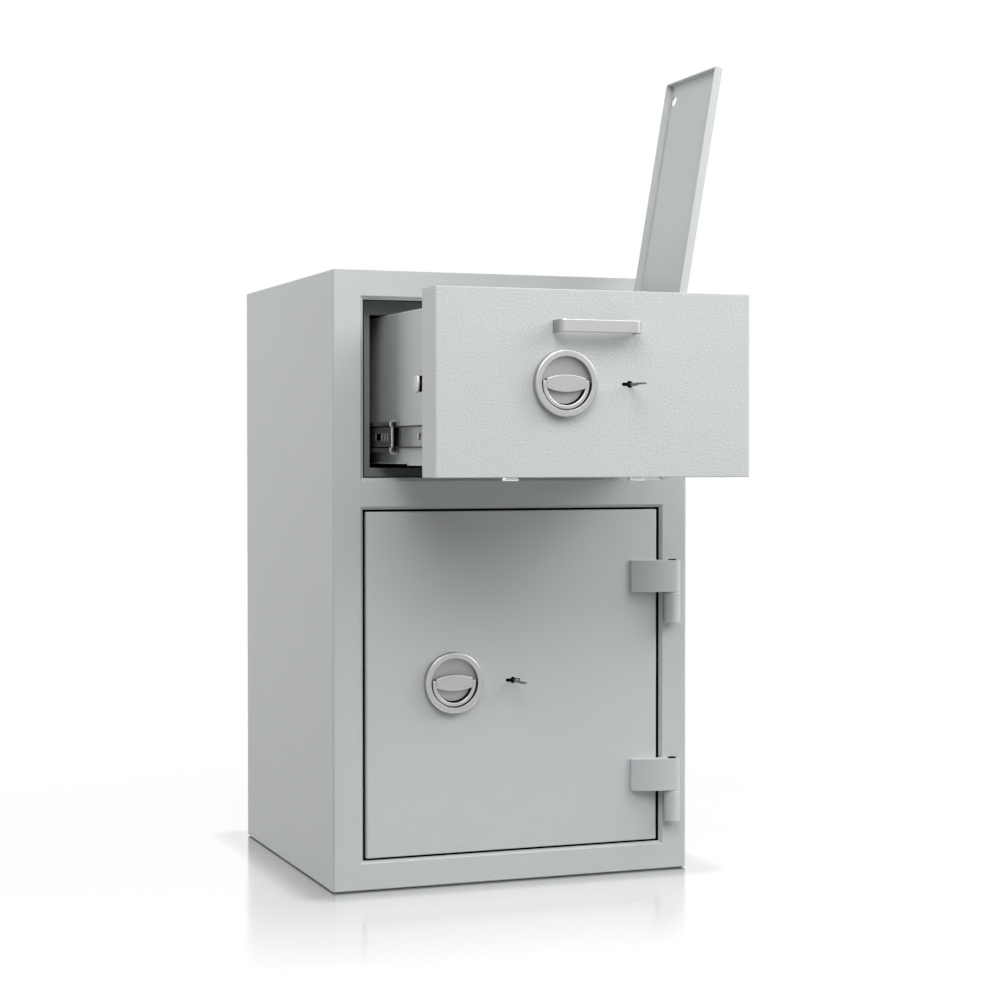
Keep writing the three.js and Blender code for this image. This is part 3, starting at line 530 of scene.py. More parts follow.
def ring(places, fill):
    """A circle primitive whose corners are moved to their places."""
    piece = added(bpy.ops.mesh.primitive_circle_add, vertices=len(places), fill_type=fill)
    for vertex, place in zip(piece.data.vertices, places):
        vertex.co = place
    return piece


def swept(points, axis, start, end):
    """An outline filled and extruded along an axis."""
    run = {"value": across(axis, 0, 0, end - start)}
    return edit(
        ring([across(axis, u, v, start) for u, v in points], "NGON"),
        lambda: bpy.ops.mesh.extrude_region_move(TRANSFORM_OT_translate=run),
        facing_out,
    )


def turned(profile, axis, centre, steps=48):
    """A profile of (radius, place along the axis) that starts and ends on the axis, spun round it."""
    middle = Vector(centre) * mm
    spindle = across(axis, 0, 0, 1).normalized()
    piece = ring([middle + across(axis, radius, 0, along) for radius, along in profile], "NOTHING")

    def on_axis(place, along):
        return (place - Vector(centre)).cross(spindle).length < near

    reshape(piece, "EDGE", on_axis, lambda: bpy.ops.mesh.delete(type="EDGE"))
    edit(
        piece,
        lambda: bpy.ops.mesh.spin(steps=steps, angle=2 * math.pi, center=middle, axis=spindle),
        merged, facing_out,
    )
    return smooth(piece)


def spun(profile, axis, a, b, steps):
    """A profile spun about the line with a and b across the axis."""
    return turned(profile, axis, {"x": (0, a, b), "y": (a, 0, b), "z": (a, b, 0)}[axis], steps)


def rod(axis, radius, start, end, a, b, chamfer=0.0, steps=32):
    """A round bar with chamfered ends; a and b are its place along the other two axes."""
    profile = dict.fromkeys([
        (0, start), (radius - chamfer, start), (radius, start + chamfer),
        (radius, end - chamfer), (radius - chamfer, end), (0, end),
    ])
    return spun(list(profile), axis, a, b, steps)


def bore(axis, radius, start, end, a, b):
    """A cutter for a round hole right through what lies between start and end."""
    return rod(axis, radius, start - past, end + past, a, b)


def span(node):
    """The lowest and highest corners of a node, in millimetres."""
    low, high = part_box(node)
    return low / mm, high / mm


def middle_of(node):
    low, high = span(node)
    return (low + high) / 2


print("tools ready")


# %% [markdown]
# ## Plain sheet with soft edges
# The boards behind the fronts have the right shape already. A coat of powder rounds every edge a
# little, and that thin rounding catches the light, so each one is copied from its node, merged,
# bevelled by a fraction of a millimetre, and shown in place of the node.

# %% Plain sheet with soft edges
board_edges = {
    "rear_panel": 0.6, "lock_bay_cover": 0.35, "well_front_wall": 0.35, "well_rear_wall": 0.35,
    "hood_cover": 0.35, "hood_floor": 0.35, "hood_rear_wall": 0.35, "drop_guard": 0.3,
    "slide_bracket_left": 0.35, "slide_bracket_right": 0.35,
}
for node, width in board_edges.items():
    board = bpy.data.objects.new(node, nodes[node].data.copy())
    bpy.context.scene.collection.objects.link(board)
    only(board)
    bpy.ops.mesh.customdata_custom_splitnormals_clear()
    edit(board, merged, flat_faces_joined)
    stand_in(soften(board, width), node, "_finished", finishes[slot_of_node[node]][0])
print(len(board_edges), "boards softened")

# %% [markdown]
# ## Outer jacket
# One sheet wraps the safe. Its upright front edges are folded over a small radius, and both
# openings have a narrow chamfer all round that meets at mitred corners. A cube is bevelled along
# its outer edges, hollowed, and cut twice with a block whose front end is flared.

# %% Outer jacket
def folded_block(low, high, radius):
    """A block whose two upright edges at the front are folded."""
    return folded(
        block(low, high), radius, 6,
        lambda middle, along: abs(along.z) > 0.9 and middle.y < low.y + near,
    )


def flared_opening(low, high, flare):
    """A block that grows towards the front, where it stands for a chamfer of the same size."""
    growth = (1 + 4 * flare / (high[0] - low[0]), 1, 1 + 4 * flare / (high[1] - low[1]))
    centre = across("y", (low[0] + high[0]) / 2, (low[1] + high[1]) / 2, cabinet_front - flare)
    return reshape(
        block((low[0], cabinet_front - flare, low[1]), (high[0], cabinet_front + flare, high[1])),
        "FACE", facing_front,
        lambda: bpy.ops.transform.resize(value=growth, center_override=centre),
    )


cabinet_front = cabinet_face / mm
skin, chamfer = 4.0, 4.5
reveal_right = 1.2  # how far the openings end to the right of the stop frames
low, high = span("outer_jacket")
jacket = folded_block(low, high, 3.5)
folded(jacket, 1.6, 4, lambda middle, along: (
    abs(along.z) < 0.1 and middle.z < low.z + near and middle.y < high.y - near
))
folded(jacket, 2.0, 4, lambda middle, along: abs(along.y) > 0.9 and middle.z > high.z - near)
cut_out(
    jacket,
    block((low.x + skin, low.y + skin, low.z - skin), (high.x - skin, high.y + skin, high.z - skin)),
)
for node in ("door_stop_frame", "drawer_stop_frame"):
    frame_low, frame_high = span(node)
    right_x = frame_high.x + reveal_right
    cut_out(
        jacket,
        block((frame_low.x, low.y - skin, frame_low.z), (right_x, low.y + 2 * skin, frame_high.z)),
        flared_opening((frame_low.x, frame_low.z), (right_x, frame_high.z), chamfer),
    )
dress(soften(jacket, 0.5), "cabinet_jacket", jacket_paint, "cabinet", "outer_jacket")
print("jacket:", len(jacket.data.polygons), "faces")


# %% [markdown]
# ## Stop frames
# Behind each opening stands a thick frame that the drawer front and the door close against. Its darker
# coat is painted shade, the shadow inside the openings.

# %% Stop frames
def border(low, high, left, right, bottom, top):
    """A rectangular frame, with the width of each of its sides."""
    return cut_out(block(low, high), block(
        (low[0] + left, low[1] - past, low[2] + bottom),
        (high[0] - right, high[1] + past, high[2] - top),
    ))


for node in ("door_stop_frame", "drawer_stop_frame"):
    stop = border(*span(node), left=22.5, right=22.5, bottom=12.7, top=17.0)
    stand_in(soften(stop, 0.8), node, "_finished", stop_paint_shaded)
print("two stop frames")

# %% [markdown]
# ## Drawer front and door
# Both fronts are boxes of sheet, folded over the upright edges and welded at the top and bottom.
# The block is folded first and softened next, and the holes for the spindle and the key are cut
# last, so that their small facets don't hold the bevel back.

# %% Drawer front and door
spindle_bore, key_bore, slot_reach, slot_rise = 7.4, 4.25, 10.3, 2.1
locks = {
    place: (
        middle_of(place + "_knob").x, middle_of(place + "_key").x,
        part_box(node)[0].y / mm, middle_of(node).z,
    )
    for place, node in (("drawer", "drawer_front"), ("door", "door_panel"))
}


def keyhole(x, y0, y1, z):
    """Cutters for a round hole with a round-ended slot to each side."""
    slot = [
        (x + side * slot_reach, z + way * slot_rise, 2)
        for side, way in ((-1, -1), (1, -1), (1, 1), (-1, 1))
    ]
    return bore("y", key_bore, y0, y1, x, z), swept(rounded(slot), "y", y0 - past, y1 + past)


for node, name, finish, place, fold, edge in (
    ("drawer_front", "drawer_front_plate", front_paint, "drawer", 3.0, 1.1),
    ("door_panel", "door_pan", paint, "door", 3.0, 1.1),
    ("door_case", "door_core", paint, "door", 0, 0.8),
):
    knob_x, key_x, face, z = locks[place]
    low, high = span(node)
    plate = soften(folded_block(low, high, fold) if fold else block(low, high), edge, 3)
    cut_out(plate, bore("y", spindle_bore, low.y, high.y, knob_x, z), *keyhole(key_x, low.y, high.y, z))
    dress(plate, name, finish, place, node)

# A near-black disc behind each keyhole is painted shade, so the hole and its slots read dark.
shade_disc_from, shade_disc_to = 0.8, 3.0
for place, (knob_x, key_x, face, z) in locks.items():
    y0, y1 = face + shade_disc_from, face + shade_disc_to
    shade_disc = cut_out(rod("y", 11.5, y0, y1, key_x, z), bore("y", 2.2, y0, y1, key_x, z))
    dress(shade_disc, place + "_keyhole_liner", black_rubber_and_shade, place)
print("lock places:", {place: [round(value, 1) for value in spot] for place, spot in locks.items()})

# %% [markdown]
# ## Black reveals
# The reveal round each front reads as a thin black line, and that line is painted shade: a black strip
# lies along the four sides of the opening, just behind the chamfer, where the gap lies in shadow, and
# leaves the front free to move. The door's strip also has a thin flange that closes the slit behind the
# chamfer.

# %% Black reveal shade
reveal_shade_side, reveal_shade_level, reveal_shade_from, reveal_shade_to = 2.2, 1.8, 4.6, 9.5
flange_from, flange_out, grip = 3.65, 0.45, 0.2
# Painted shade: black strips in the reveals, in the rubber for the door and in the dull black for the
# drawer.
for place, finish in (("door", black_rubber_and_shade), ("drawer", black)):
    low, high = span(place + "_stop_frame")
    y0, y1, right_x = cabinet_front + reveal_shade_from, cabinet_front + reveal_shade_to, high.x + reveal_right
    reveal_shade = border(
        (low.x, y0, low.z), (right_x, y1, high.z),
        reveal_shade_side, reveal_shade_side + reveal_right, reveal_shade_level, reveal_shade_level,
    )
    if place == "door":
        lap = flange_out + grip
        reveal_shade = joined(reveal_shade, border(
            (low.x - flange_out, cabinet_front + flange_from, low.z - flange_out),
            (right_x + flange_out, y0 + 0.1, high.z + flange_out),
            lap, lap + reveal_right, lap, lap,
        ))
    dress(soften(reveal_shade, 0.3), place + "_reveal_shade", finish, "cabinet")
print("two seals laid")

# %% [markdown]
# ## Tray walls
# The walls of the tray are bent from thin sheet: a rim turned in at the top and a foot turned out
# at the bottom, two millimetres lower along the front part. The bends are small radii.

# %% Tray walls
sheet, foot_out, skirt_long, skirt_drop, bolt_hole = 1.5, 2.5, 151, 2, 11.3
for sign, node in ((-1, "tray_side_left"), (1, "tray_side_right")):
    low, high = span(node)
    foot_x, rim_x = (low.x, high.x) if sign < 0 else (high.x, low.x)
    wall = foot_x - sign * foot_out
    inner = wall - sign * sheet

    def bent(foot, start, end):
        return swept(rounded([
            (foot_x, foot, 0), (foot_x, foot + sheet, 0), (wall, foot + sheet, 0.5),
            (wall, high.z, 1.6), (rim_x, high.z, 0), (rim_x, high.z - sheet, 0),
            (inner, high.z - sheet, 0.3), (inner, foot, 0),
        ]), "y", start, end)

    skirt_end = low.y + skirt_long
    side = fused(bent(low.z, low.y, skirt_end), bent(low.z + skirt_drop, skirt_end, high.y))
    soften(side, 0.3)
    bolt_at = middle_of("drawer_bolt_left")
    cut_out(side, bore("x", bolt_hole, *sorted((wall, inner)), bolt_at.y, bolt_at.z))
    stand_in(side, node, "_wall", tray_paint)
print("tray walls bent")


# %% [markdown]
# ## Tray lid
# A shallow folded lid with three turned edges and a finger hole. It is modelled shut, with its
# hinge axis at the origin, then swung past upright about that axis onto its stop.

# %% Tray lid
def in_rear_corner(middle, along):
    """Where the sheet turns down into the rear flange, on the inside."""
    return (
        abs(along.x) > 0.9 and abs(middle.y - (lid_y1 - lid_sheet)) < near
        and abs(middle.z - (half - lid_sheet)) < near
    )


lid_long, lid_deep, lid_sheet, lid_lean, lid_fold = 322.5, 10.4, 1.8, 9.83, 3.2
lid_axis = Vector((156.0, 0.0, 738.5))
finger_hole, hole_from_edge, hole_from_rear = 6.5, 22.3, 13.3
lid_y0, lid_y1 = (end.y for end in span("tray_lid"))
half = lid_deep / 2
folds = rounded([
    (-lid_long, -half, 0.5), (-lid_long, half, 1.4), (0, half, 0), (0, half - lid_sheet, 0),
    (lid_sheet - lid_long, half - lid_sheet, 0.3), (lid_sheet - lid_long, -half, 0.5),
])
barrel = [(-lid_long + 0.4, -half), (-lid_long + 0.4, half - 0.2), (0, half - 0.2)]
barrel += arc(0, 0, half - 0.2, 75, -90, 10)
lid = fused(
    swept(folds, "y", lid_y0, lid_y1),
    swept(barrel, "y", lid_y0, lid_y0 + lid_sheet), swept(barrel, "y", lid_y1 - lid_sheet, lid_y1),
)
folded(lid, lid_fold, 6, in_rear_corner)
soften(cut_out(lid, bore("y", 2.8, lid_y0, lid_y1, 0, 0)), 0.45)
cut_out(lid, rod("z", finger_hole, 0, lid_deep, hole_from_edge - lid_long, lid_y1 - hole_from_rear))
lid.rotation_euler.y = math.radians(90 + lid_lean)
lid.location = lid_axis * mm
stand_in(applied(lid), "tray_lid", "_folded", paint)
print("lid box:", [round(v, 4) for v in lid.bound_box[0]])


# %% [markdown]
# ## Knobs
# A turned ring with a rounded rim stands round a dished floor. A lens-shaped bridge crosses the
# dish, and a half-ring bail folds down round its lower side and turns on two pins. The ring is a
# spun profile, the bridge a filled outline, and the bail a small rectangle spun half way round.

# %% Knobs
def knob_ring(x, y, z):
    profile = [(0, -0.4), (37.0, -0.4), (39.2, -0.6)]
    for curve in (
        arc(38.2, 2.2, 1.8, -60, 0, 3), arc(38.2, 8.6, 1.8, 0, 90, 6),
        arc(32.8, 9.8, 0.6, 90, 180, 4), arc(33.2, 2.6, 1.0, 180, 270, 4),
    ):
        profile += [(r, -h) for r, h in curve]
    profile += [(32.0, -1.6), (32.0, -0.6), (0, -0.6)]
    tick = block((x - 0.35, y - 12, z + 33.6), (x + 0.35, y - 10.1, z + 38.6))
    return cut_out(turned(profile, "y", (x, y, z), 96), tick)


def knob_dish(x, y, z):
    """The sunk floor, a shade duller than the ring."""
    return turned([(0, 0.4), (31.9, 0.4), (31.9, -1.8), (24, -1.5), (0, -1.2)], "y", (x, y, z), 96)


def half_turned(section, x, y, z, steps=40):
    """A section of (radius, y) spun half way round, below a level."""
    centre = Vector((x, y, z)) * mm
    return edit(
        ring([across("z", x + r, h, z) for r, h in section], "NGON"),
        lambda: bpy.ops.mesh.spin(steps=steps, angle=math.pi, center=centre, axis=(0, -1, 0)),
        merged, facing_out,
    )


def bail_shade_ring(x, y, z):
    """A black half ring under the bail, painted shade that makes the gaps round the bail read dark."""
    shelf, floor_y = y - 2.05, y - 1.4
    return half_turned([(24.7, floor_y), (31.9, floor_y), (31.9, shelf), (24.7, shelf)], x, y, z + 0.5)


def lens(half_wide, half_high, end_high, steps=16):
    """The outline of a lens with blunt ends."""
    sagitta = half_high - end_high
    radius = (half_wide ** 2 + sagitta ** 2) / (2 * sagitta)
    spread = math.degrees(math.asin(half_wide / radius))
    over = arc(0, half_high - radius, radius, 90 - spread, 90 + spread, steps)
    under = arc(0, radius - half_high, radius, 270 - spread, 270 + spread, steps)
    return over + under


def knob_bridge(x, y, z):
    outline = [(x + u, z + v) for u, v in lens(25.3, 10.7, 5.9)]
    return soften(swept(outline, "y", y - 9.4, y - 1.5), 1.1, 4, 40)


def knob_bail(x, y, z):
    """A half ring that starts a little below the knob's middle, with straight ends and two pins."""
    inner, outer, back, front, drop, top = 24.8, 30.1, y - 4.2, y - 8.8, -1.0, 3.7
    rise = {"value": (0, 0, (top - drop) * mm)}
    bail = half_turned([(inner, back), (outer, back), (outer, front), (inner, front)], x, y, z + drop)
    reshape(
        bail, "FACE", lambda middle, normal: abs(normal.z) > 0.9 and middle.z > z + drop - near,
        lambda: bpy.ops.mesh.extrude_region_move(TRANSFORM_OT_translate=rise),
    )
    soften(edit(bail, facing_out), 1.3, 4, 50)
    pins = [
        rod("x", 1.5, start, end, y - 6.5, z + 0.5)
        for start, end in ((x + inner - 4, x + inner + 1), (x - inner - 1, x - inner + 4))
    ]
    return joined(bail, *pins)


for place, (knob_x, key_x, face, z) in locks.items():
    spot, knob = (knob_x, face, z), place + "_knob"
    stand_in(knob_ring(*spot), knob, "_ring", satin)
    dress(knob_dish(*spot), knob + "_dish", blasted, knob)
    dress(bail_shade_ring(*spot), knob + "_shade_ring", black_rubber_and_shade, knob)
    dress(knob_bridge(*spot), knob + "_bridge", satin, knob)
    stand_in(knob_bail(*spot), place + "_bail", "_ring", satin)
print("two knobs with bridges and bails")


# %% [markdown]
# ## Keys
# Each key stands in its lock with its bow lying flat, so that from the front only the edge of the
# bow shows. The stem is turned with two collars; the bow is a flat oval with a hole.

# %% Keys
def key_stem(x, y, z, tip):
    profile = [(0, -27), (1.2, -27), (1.7, -25), (1.7, -16.4), (2.6, -15.8), (2.6, -12.6), (1.7, -12)]
    profile += [(1.9, -11), (1.9, 1), (2.4, 1.4), (2.4, tip - 0.8), (1.8, tip), (0, tip)]
    return turned(profile, "y", (x, y, z), 32)


def key_bow(x, y, z):
    out, half_wide, half_long, half_thick = y - 35.0, 4.9, 9.8, 1.0
    turns = [math.tau * i / 48 for i in range(48)]
    oval = [(x + half_wide * math.cos(t), out + half_long * math.sin(t)) for t in turns]
    bow = soften(swept(oval, "z", z - half_thick, z + half_thick), 0.4, angle=50)
    return cut_out(bow, rod("z", 2.6, z - 4, z + 4, x, out - 4.2))


def key_bits(x, y, z, start):
    bits = block((x - 9.5, y + start, z - 1.8), (x + 9.5, y + start + 8, z + 1.8))
    notches = [
        block((x + u - 0.8, y + start - 2, z - 3), (x + u + 0.8, y + start + depth, z + 3))
        for u, depth in ((-7.4, 2.2), (-4.8, 4.0), (4.9, 3.0), (7.3, 1.8))
    ]
    return soften(cut_out(bits, *notches), 0.25)


for place, (knob_x, key_x, face, z) in locks.items():
    spot, tip = (key_x, face, z), span(place + "_key")[1].y - face
    key = joined(key_stem(*spot, tip), key_bow(*spot), key_bits(*spot, tip - 12.5))
    stand_in(key, place + "_key", "_cut", key_metal)
print("two keys")

# %% [markdown]
# ## Pull handle
# A flat strip, bent square at both ends over a radius and fixed to the drawer front. Its edges are
# rounded enough to draw a bright line along the top.

# %% Pull handle
low, high = span("pull_handle")
strip, bend = 4.0, 9.0
plan = rounded([
    (low.x, high.y, 0), (low.x, low.y, bend), (high.x, low.y, bend), (high.x, high.y, 0),
    (high.x - strip, high.y, 0), (high.x - strip, low.y + strip, bend - strip),
    (low.x + strip, low.y + strip, bend - strip), (low.x + strip, high.y, 0),
], 8)
stand_in(soften(swept(plan, "z", low.z, high.z), 1.3, 4), "pull_handle", "_strip", brushed)
print("handle:", round(high.x - low.x, 1), "mm long")

# %% [markdown]
# ## Hinges
# Each hinge has a knuckle fixed to the cabinet, a washer on it, and a leaf on the door that bulges
# forward and is bored for the pin. The leaf's outline in plan is a long arc that runs into the
# barrel, extruded upwards, with its lower free corner rounded. A black plug in the bore is painted
# shade, so the bore reads dark.

# %% Hinges
pin_x, barrel_radius = 223.5, 11.0
pin_y = cabinet_front - barrel_radius
leaf_long, leaf_end, leaf_bore = 57.4, 4.6, 6.0
knuckle_high, washer_high, pin_reach = 41, 1.3, 36.8


def leaf_plan():
    plate_edge = span("door_panel")[1].x
    end, face = pin_x - leaf_long, pin_y - barrel_radius + 0.3
    bends = (end, cabinet_front - leaf_end), (pin_x - leaf_long / 2, face), (pin_x, face)
    curve = [
        tuple((1 - t) ** 2 * a + 2 * t * (1 - t) * b + t * t * c for a, b, c in zip(*bends))
        for t in (i / 20 for i in range(21))
    ]
    back = arc(pin_x, pin_y, barrel_radius - 0.3, -90, 90, 16)[1:]
    foot = [(plate_edge, cabinet_front - 0.3), (plate_edge, cabinet_front)]
    return [(end, cabinet_front)] + curve + back + foot


def corner_cutter(x, z, radius, over=4):
    """What is cut away to round the lower corner of the leaf."""
    points = [(x - over, z - over), (x + radius, z - over)]
    points += arc(x + radius, z + radius, radius, -90, -180, 6) + [(x - over, z + radius)]
    return swept(points, "y", cabinet_front - 40, cabinet_front + 10)


for level in ("upper", "lower"):
    node = "hinge_leaf_" + level
    low, high = span(node)
    leaf = cut_out(swept(leaf_plan(), "z", low.z, high.z), corner_cutter(low.x, low.z, 3.2))
    cut_out(soften(leaf, 0.7, 3), bore("z", leaf_bore, low.z, high.z, pin_x, pin_y))
    stand_in(leaf, node, "_cast", paint)
    # Painted shade: a near-black plug, so the bore reads dark.
    bore_shade = rod("z", leaf_bore - 0.2, high.z - 2.5, high.z + 1.3, pin_x, pin_y, 0.6)
    dress(bore_shade, "hinge_bore_shade_" + level, black_rubber_and_shade, "door")
    node = "hinge_knuckle_" + level
    base = span(node)[0].z
    top = base + knuckle_high
    knuckle = fused(
        rod("z", barrel_radius, base, top, pin_x, pin_y, 0.9, 48),
        block((pin_x - 6, pin_y, base + 1.2), (pin_x + 6, cabinet_front, top - 1.2)),
    )
    washer = rod("z", 10.4, top, top + washer_high, pin_x, pin_y, 0.25, 48)
    pin = rod("z", 4.6, top - 5, top + washer_high + pin_reach, pin_x, pin_y, 1.0)
    stand_in(joined(knuckle, washer, pin), node, "_turned", paint)
print("two hinges")

# %% [markdown]
# ## Drawer slides
# Three channels of zinc-plated sheet run inside each other on each side. The cabinet member and
# the middle member curl round the balls; the drawer member is a flat channel on the tray wall.
# Each is a bent outline extruded along the drawer's travel, and the slots are cut afterwards.

# %% Drawer slides
slide_z = middle_of("slide_drawer_left").z
slide_sheet, lip_depth = 1.4, 1.6
web = {"cabinet": 184.7, "middle": 180.9, "drawer": 172.0}
race = web["cabinet"] - slide_sheet - 0.5
middle_slots = [(20.3, 6.0), (33.8, 6.5), (47.5, 23.0)]
drawer_slot = (43.0, 7.0)
shade_strip_x, shade_strip_z, groove_z = 178.2, 13.25, 13.4
cabinet_section = [
    (web["cabinet"], 22.5, 2.6), (176.2, 22.5, 0.9), (176.2, 20.3, 0), (177.6, 20.3, 0),
    (177.6, 21.1, 0.3), (web["cabinet"] - slide_sheet, 21.1, 1.4),
]
middle_section = [
    (web["middle"], 12.6, 1.0), (race, 14.6, 1.0), (race, 20.0, 2.2), (174.5, 20.0, 1.0),
    (174.5, 14.3, 0), (175.9, 14.3, 0), (175.9, 18.6, 0.5), (race - slide_sheet, 18.6, 1.4),
    (race - slide_sheet, 15.0, 0.8), (web["middle"] - slide_sheet, 13.1, 0.8),
]
drawer_section = [
    (web["drawer"], 14.0, 0.8), (177.9, 14.0, 0), (177.9, 12.6, 0),
    (web["drawer"] + slide_sheet, 12.6, 0.6),
]
lip_section = [
    (web["middle"] + 1.2, 11.8, 1.0), (race + 1.5, 13.8, 1.0), (race + 1.5, 21.6, 3.0),
    (174.5, 21.6, 0.5), (174.5, 20.0, 0), (race - 0.2, 20.0, 1.4),
    (race - 0.2, 14.6, 0.8), (web["middle"] - 0.4, 12.7, 0.8),
]


def channel(sign, upper, y0, y1):
    """The upper half of a channel's section, outer face first, mirrored below and extruded."""
    lower = [(x, -z, radius) for x, z, radius in reversed(upper)]
    outline = rounded(upper + lower)
    return swept([(sign * x, slide_z + z) for x, z in outline], "y", y0, y1)


def beside(x0, x1, y0, y1, z0, z1):
    """A block from its sides' places, in any order across, with heights from the slide's middle."""
    x0, x1 = sorted((x0, x1))
    return block((x0, y0, slide_z + z0), (x1, y1, slide_z + z1))


def slot_cutter(x, y, length, z=0, half_high=4.5, reach=4):
    return beside(x - reach, x + reach, y, y + length, z - half_high, z + half_high)


for sign, hand in ((-1, "left"), (1, "right")):
    node = "slide_cabinet_" + hand
    y0, y1 = (end.y for end in span(node))
    outer = soften(channel(sign, cabinet_section, y0 + 1.5 * lip_depth, y1), 0.25)
    dress(outer, "slide_outer_" + hand, zinc, "cabinet", node)

    node = "slide_middle_" + hand
    y0, y1 = (end.y for end in span(node))
    middle_x, race_x = sign * web["middle"], sign * race
    rim_sides = (middle_x - sign * 0.4, middle_x + sign * 0.25)
    rims = [
        soften(beside(*rim_sides, end - 0.5, end + 0.5, -4.9, 4.9), 0.15)
        for at, length in middle_slots for end in (y0 + at - 0.5, y0 + at + length + 0.5)
    ]
    middle = cut_out(
        soften(channel(sign, middle_section, y0, y1), 0.25),
        *(slot_cutter(middle_x, y0 + at, length) for at, length in middle_slots),
        *(slot_cutter(race_x, y0 + 6, y1 - y0 - 16, z, 0.8) for z in (-groove_z, groove_z)),
    )
    lip = soften(channel(sign, lip_section, y0, y0 + lip_depth), 0.4)
    # The lip and rims are a paler zinc, a painted highlight on the slide's front end.
    dress(joined(lip, *rims), "slide_lip_" + hand, zinc_painted_bright, node)
    dress(middle, "slide_runner_" + hand, zinc, node, node)

    node = "slide_drawer_" + hand
    y0, y1 = (end.y for end in span(node))
    slot_y, slot_long = y0 + drawer_slot[0], drawer_slot[1]
    inner = soften(channel(sign, drawer_section, y0, y1), 0.25)
    cut_out(inner, slot_cutter(sign * web["drawer"], slot_y, slot_long))
    tab_x, tab_y = sign * (web["drawer"] + slide_sheet), slot_y + slot_long
    tab = soften(beside(tab_x, tab_x + sign * 2.2, tab_y, tab_y + 1.2, -4.0, 4.0), 0.3)
    # The tab is a paler zinc too, a painted highlight.
    dress(tab, "slide_tab_" + hand, zinc_painted_bright, "drawer")
    dress(inner, "slide_member_" + hand, zinc, "drawer", node)
    # Painted shade: thin black strips along the drawer member, standing for the dark gaps above and
    # below it.
    shade_strips = [
        soften(beside(sign * shade_strip_x - 0.35, sign * shade_strip_x + 0.35, y0, y1, z - 0.75, z + 0.75), 0.2)
        for z in (-shade_strip_z, shade_strip_z)
    ]
    dress(joined(*shade_strips), "slide_shade_strips_" + hand, black, "drawer")
print("slides: three members a side")

# %% [markdown]
# ## Balls and their cages
# Two rows of balls a side carry the drawer member inside the middle one. A ball has few faces,
# because it is repeated dozens of times; a black moulded strip holds each row.

# %% Balls and their cages
ball_radius, ball_pitch, ball_count = 2.05, 8.0, 14
row_x, row_z, cage_x, cage_near, cage_far = 178.7, 16.3, 179.7, 1.9, 3.2


def ball_row(sign, side, first_y):
    """A row of balls above or below the slide's middle, and a cage that reaches further inwards."""
    z = side * row_z
    ball = added(
        bpy.ops.mesh.primitive_uv_sphere_add, segments=16, ring_count=10, radius=ball_radius * mm,
        location=Vector((sign * row_x, first_y, slide_z + z)) * mm,
    )
    modify(
        ball, "ARRAY", count=ball_count, use_relative_offset=False, use_constant_offset=True,
        constant_offset_displace=(0, ball_pitch * mm, 0),
    )
    below, above = (cage_near, cage_far) if side < 0 else (cage_far, cage_near)
    end_y, x = first_y + ball_count * ball_pitch, sign * cage_x
    return applied(ball), soften(beside(x - 0.9, x + 0.9, first_y, end_y, z - below, z + above), 0.3)


for sign, hand in ((-1, "left"), (1, "right")):
    body = "slide_middle_" + hand
    first_y = span(body)[0].y + 3.4
    balls, cages = zip(*(ball_row(sign, side, first_y) for side in (-1, 1)))
    # The balls' darker steel is painted shade.
    dress(joined(*balls), "slide_balls_" + hand, ball_steel_painted_shade, body)
    dress(joined(*cages), "slide_cages_" + hand, black_rubber_and_shade, body)
print(ball_count * 4, "balls")

# %% [markdown]
# ## Slide latches
# A black lever lies along the inside of each middle member. Its wide head fills the open end.

# %% Slide latches
for hand in ("left", "right"):
    node = "slide_latch_" + hand
    low, high = span(node)
    upper = [(low.y, 12, 1.5), (low.y + 14, 12, 2.5), (low.y + 18, 7.5, 2.5), (high.y, 5.5, 2.0)]
    lower = [(y, -z, radius) for y, z, radius in reversed(upper)]
    arm = [(y, slide_z + z) for y, z in rounded(lower + upper)]
    lever = soften(swept(arm, "x", low.x + 0.2, high.x - 0.2), 0.6, 3)
    dress(lever, "slide_lever_" + hand, black_rubber_and_shade, "slide_middle_" + hand, node)
print("two latches")

# %% [markdown]
# ## Bolts
# Turned bars with a rounded nose. Each side bolt has a black sleeve in its neck, painted shade that
# makes the neck read dark, and a flat tail that runs in towards the knob; the two lower bolts hang from
# a crossbar.

# %% Bolts
bolt_radius, neck_radius, dog_radius, bar_wide = 11.0, 9.4, 9.0, 12
side_bolt_out, side_bolt_long, tail_overlap = 2.2, 60, 5
lower_bolt_long, lower_bolts_x, door_bolt_long = 47, (-84.0, 84.0), 60


def bolt(axis, nose, tail, a, b):
    """A bar with a rounded nose and a neck; nose and tail are places along its axis."""
    way = 1 if tail > nose else -1
    profile = [(0, nose), (8.8, nose)]
    profile += [(r, nose + way * d) for r, d in arc(9.2, 1.8, 1.8, -76, 0, 6)]
    profile += [
        (bolt_radius, nose + way * 2.2), (neck_radius, nose + way * 2.5),
        (neck_radius, nose + way * 10), (bolt_radius, nose + way * 10.6),
        (bolt_radius, tail - way * 0.8), (bolt_radius - 0.8, tail), (0, tail),
    ]
    return spun(profile, axis, a, b, 48)


for sign, hand in ((-1, "left"), (1, "right")):
    node = "drawer_bolt_" + hand
    low, high = span(node)
    y, z = middle_of(node).yz
    nose, tail = (low.x, high.x) if sign < 0 else (high.x, low.x)
    nose += sign * side_bolt_out
    bar_end = nose - sign * side_bolt_long
    flat_from, flat_to = sorted((bar_end + sign * tail_overlap, tail))
    flat = soften(block((flat_from, y - 2, z - 10), (flat_to, y + 2, z + 10)), 0.5)
    stand_in(joined(bolt("x", nose, bar_end, y, z), flat), node, "_turned", steel)
    # Painted shade: a near-black sleeve, so the neck reads dark.
    neck_shade_ends = sorted((nose - sign * 2.6, nose - sign * 9.8))
    dress(rod("x", neck_radius + 0.3, *neck_shade_ends, y, z), node + "_neck_shade", black_rubber_and_shade, node)

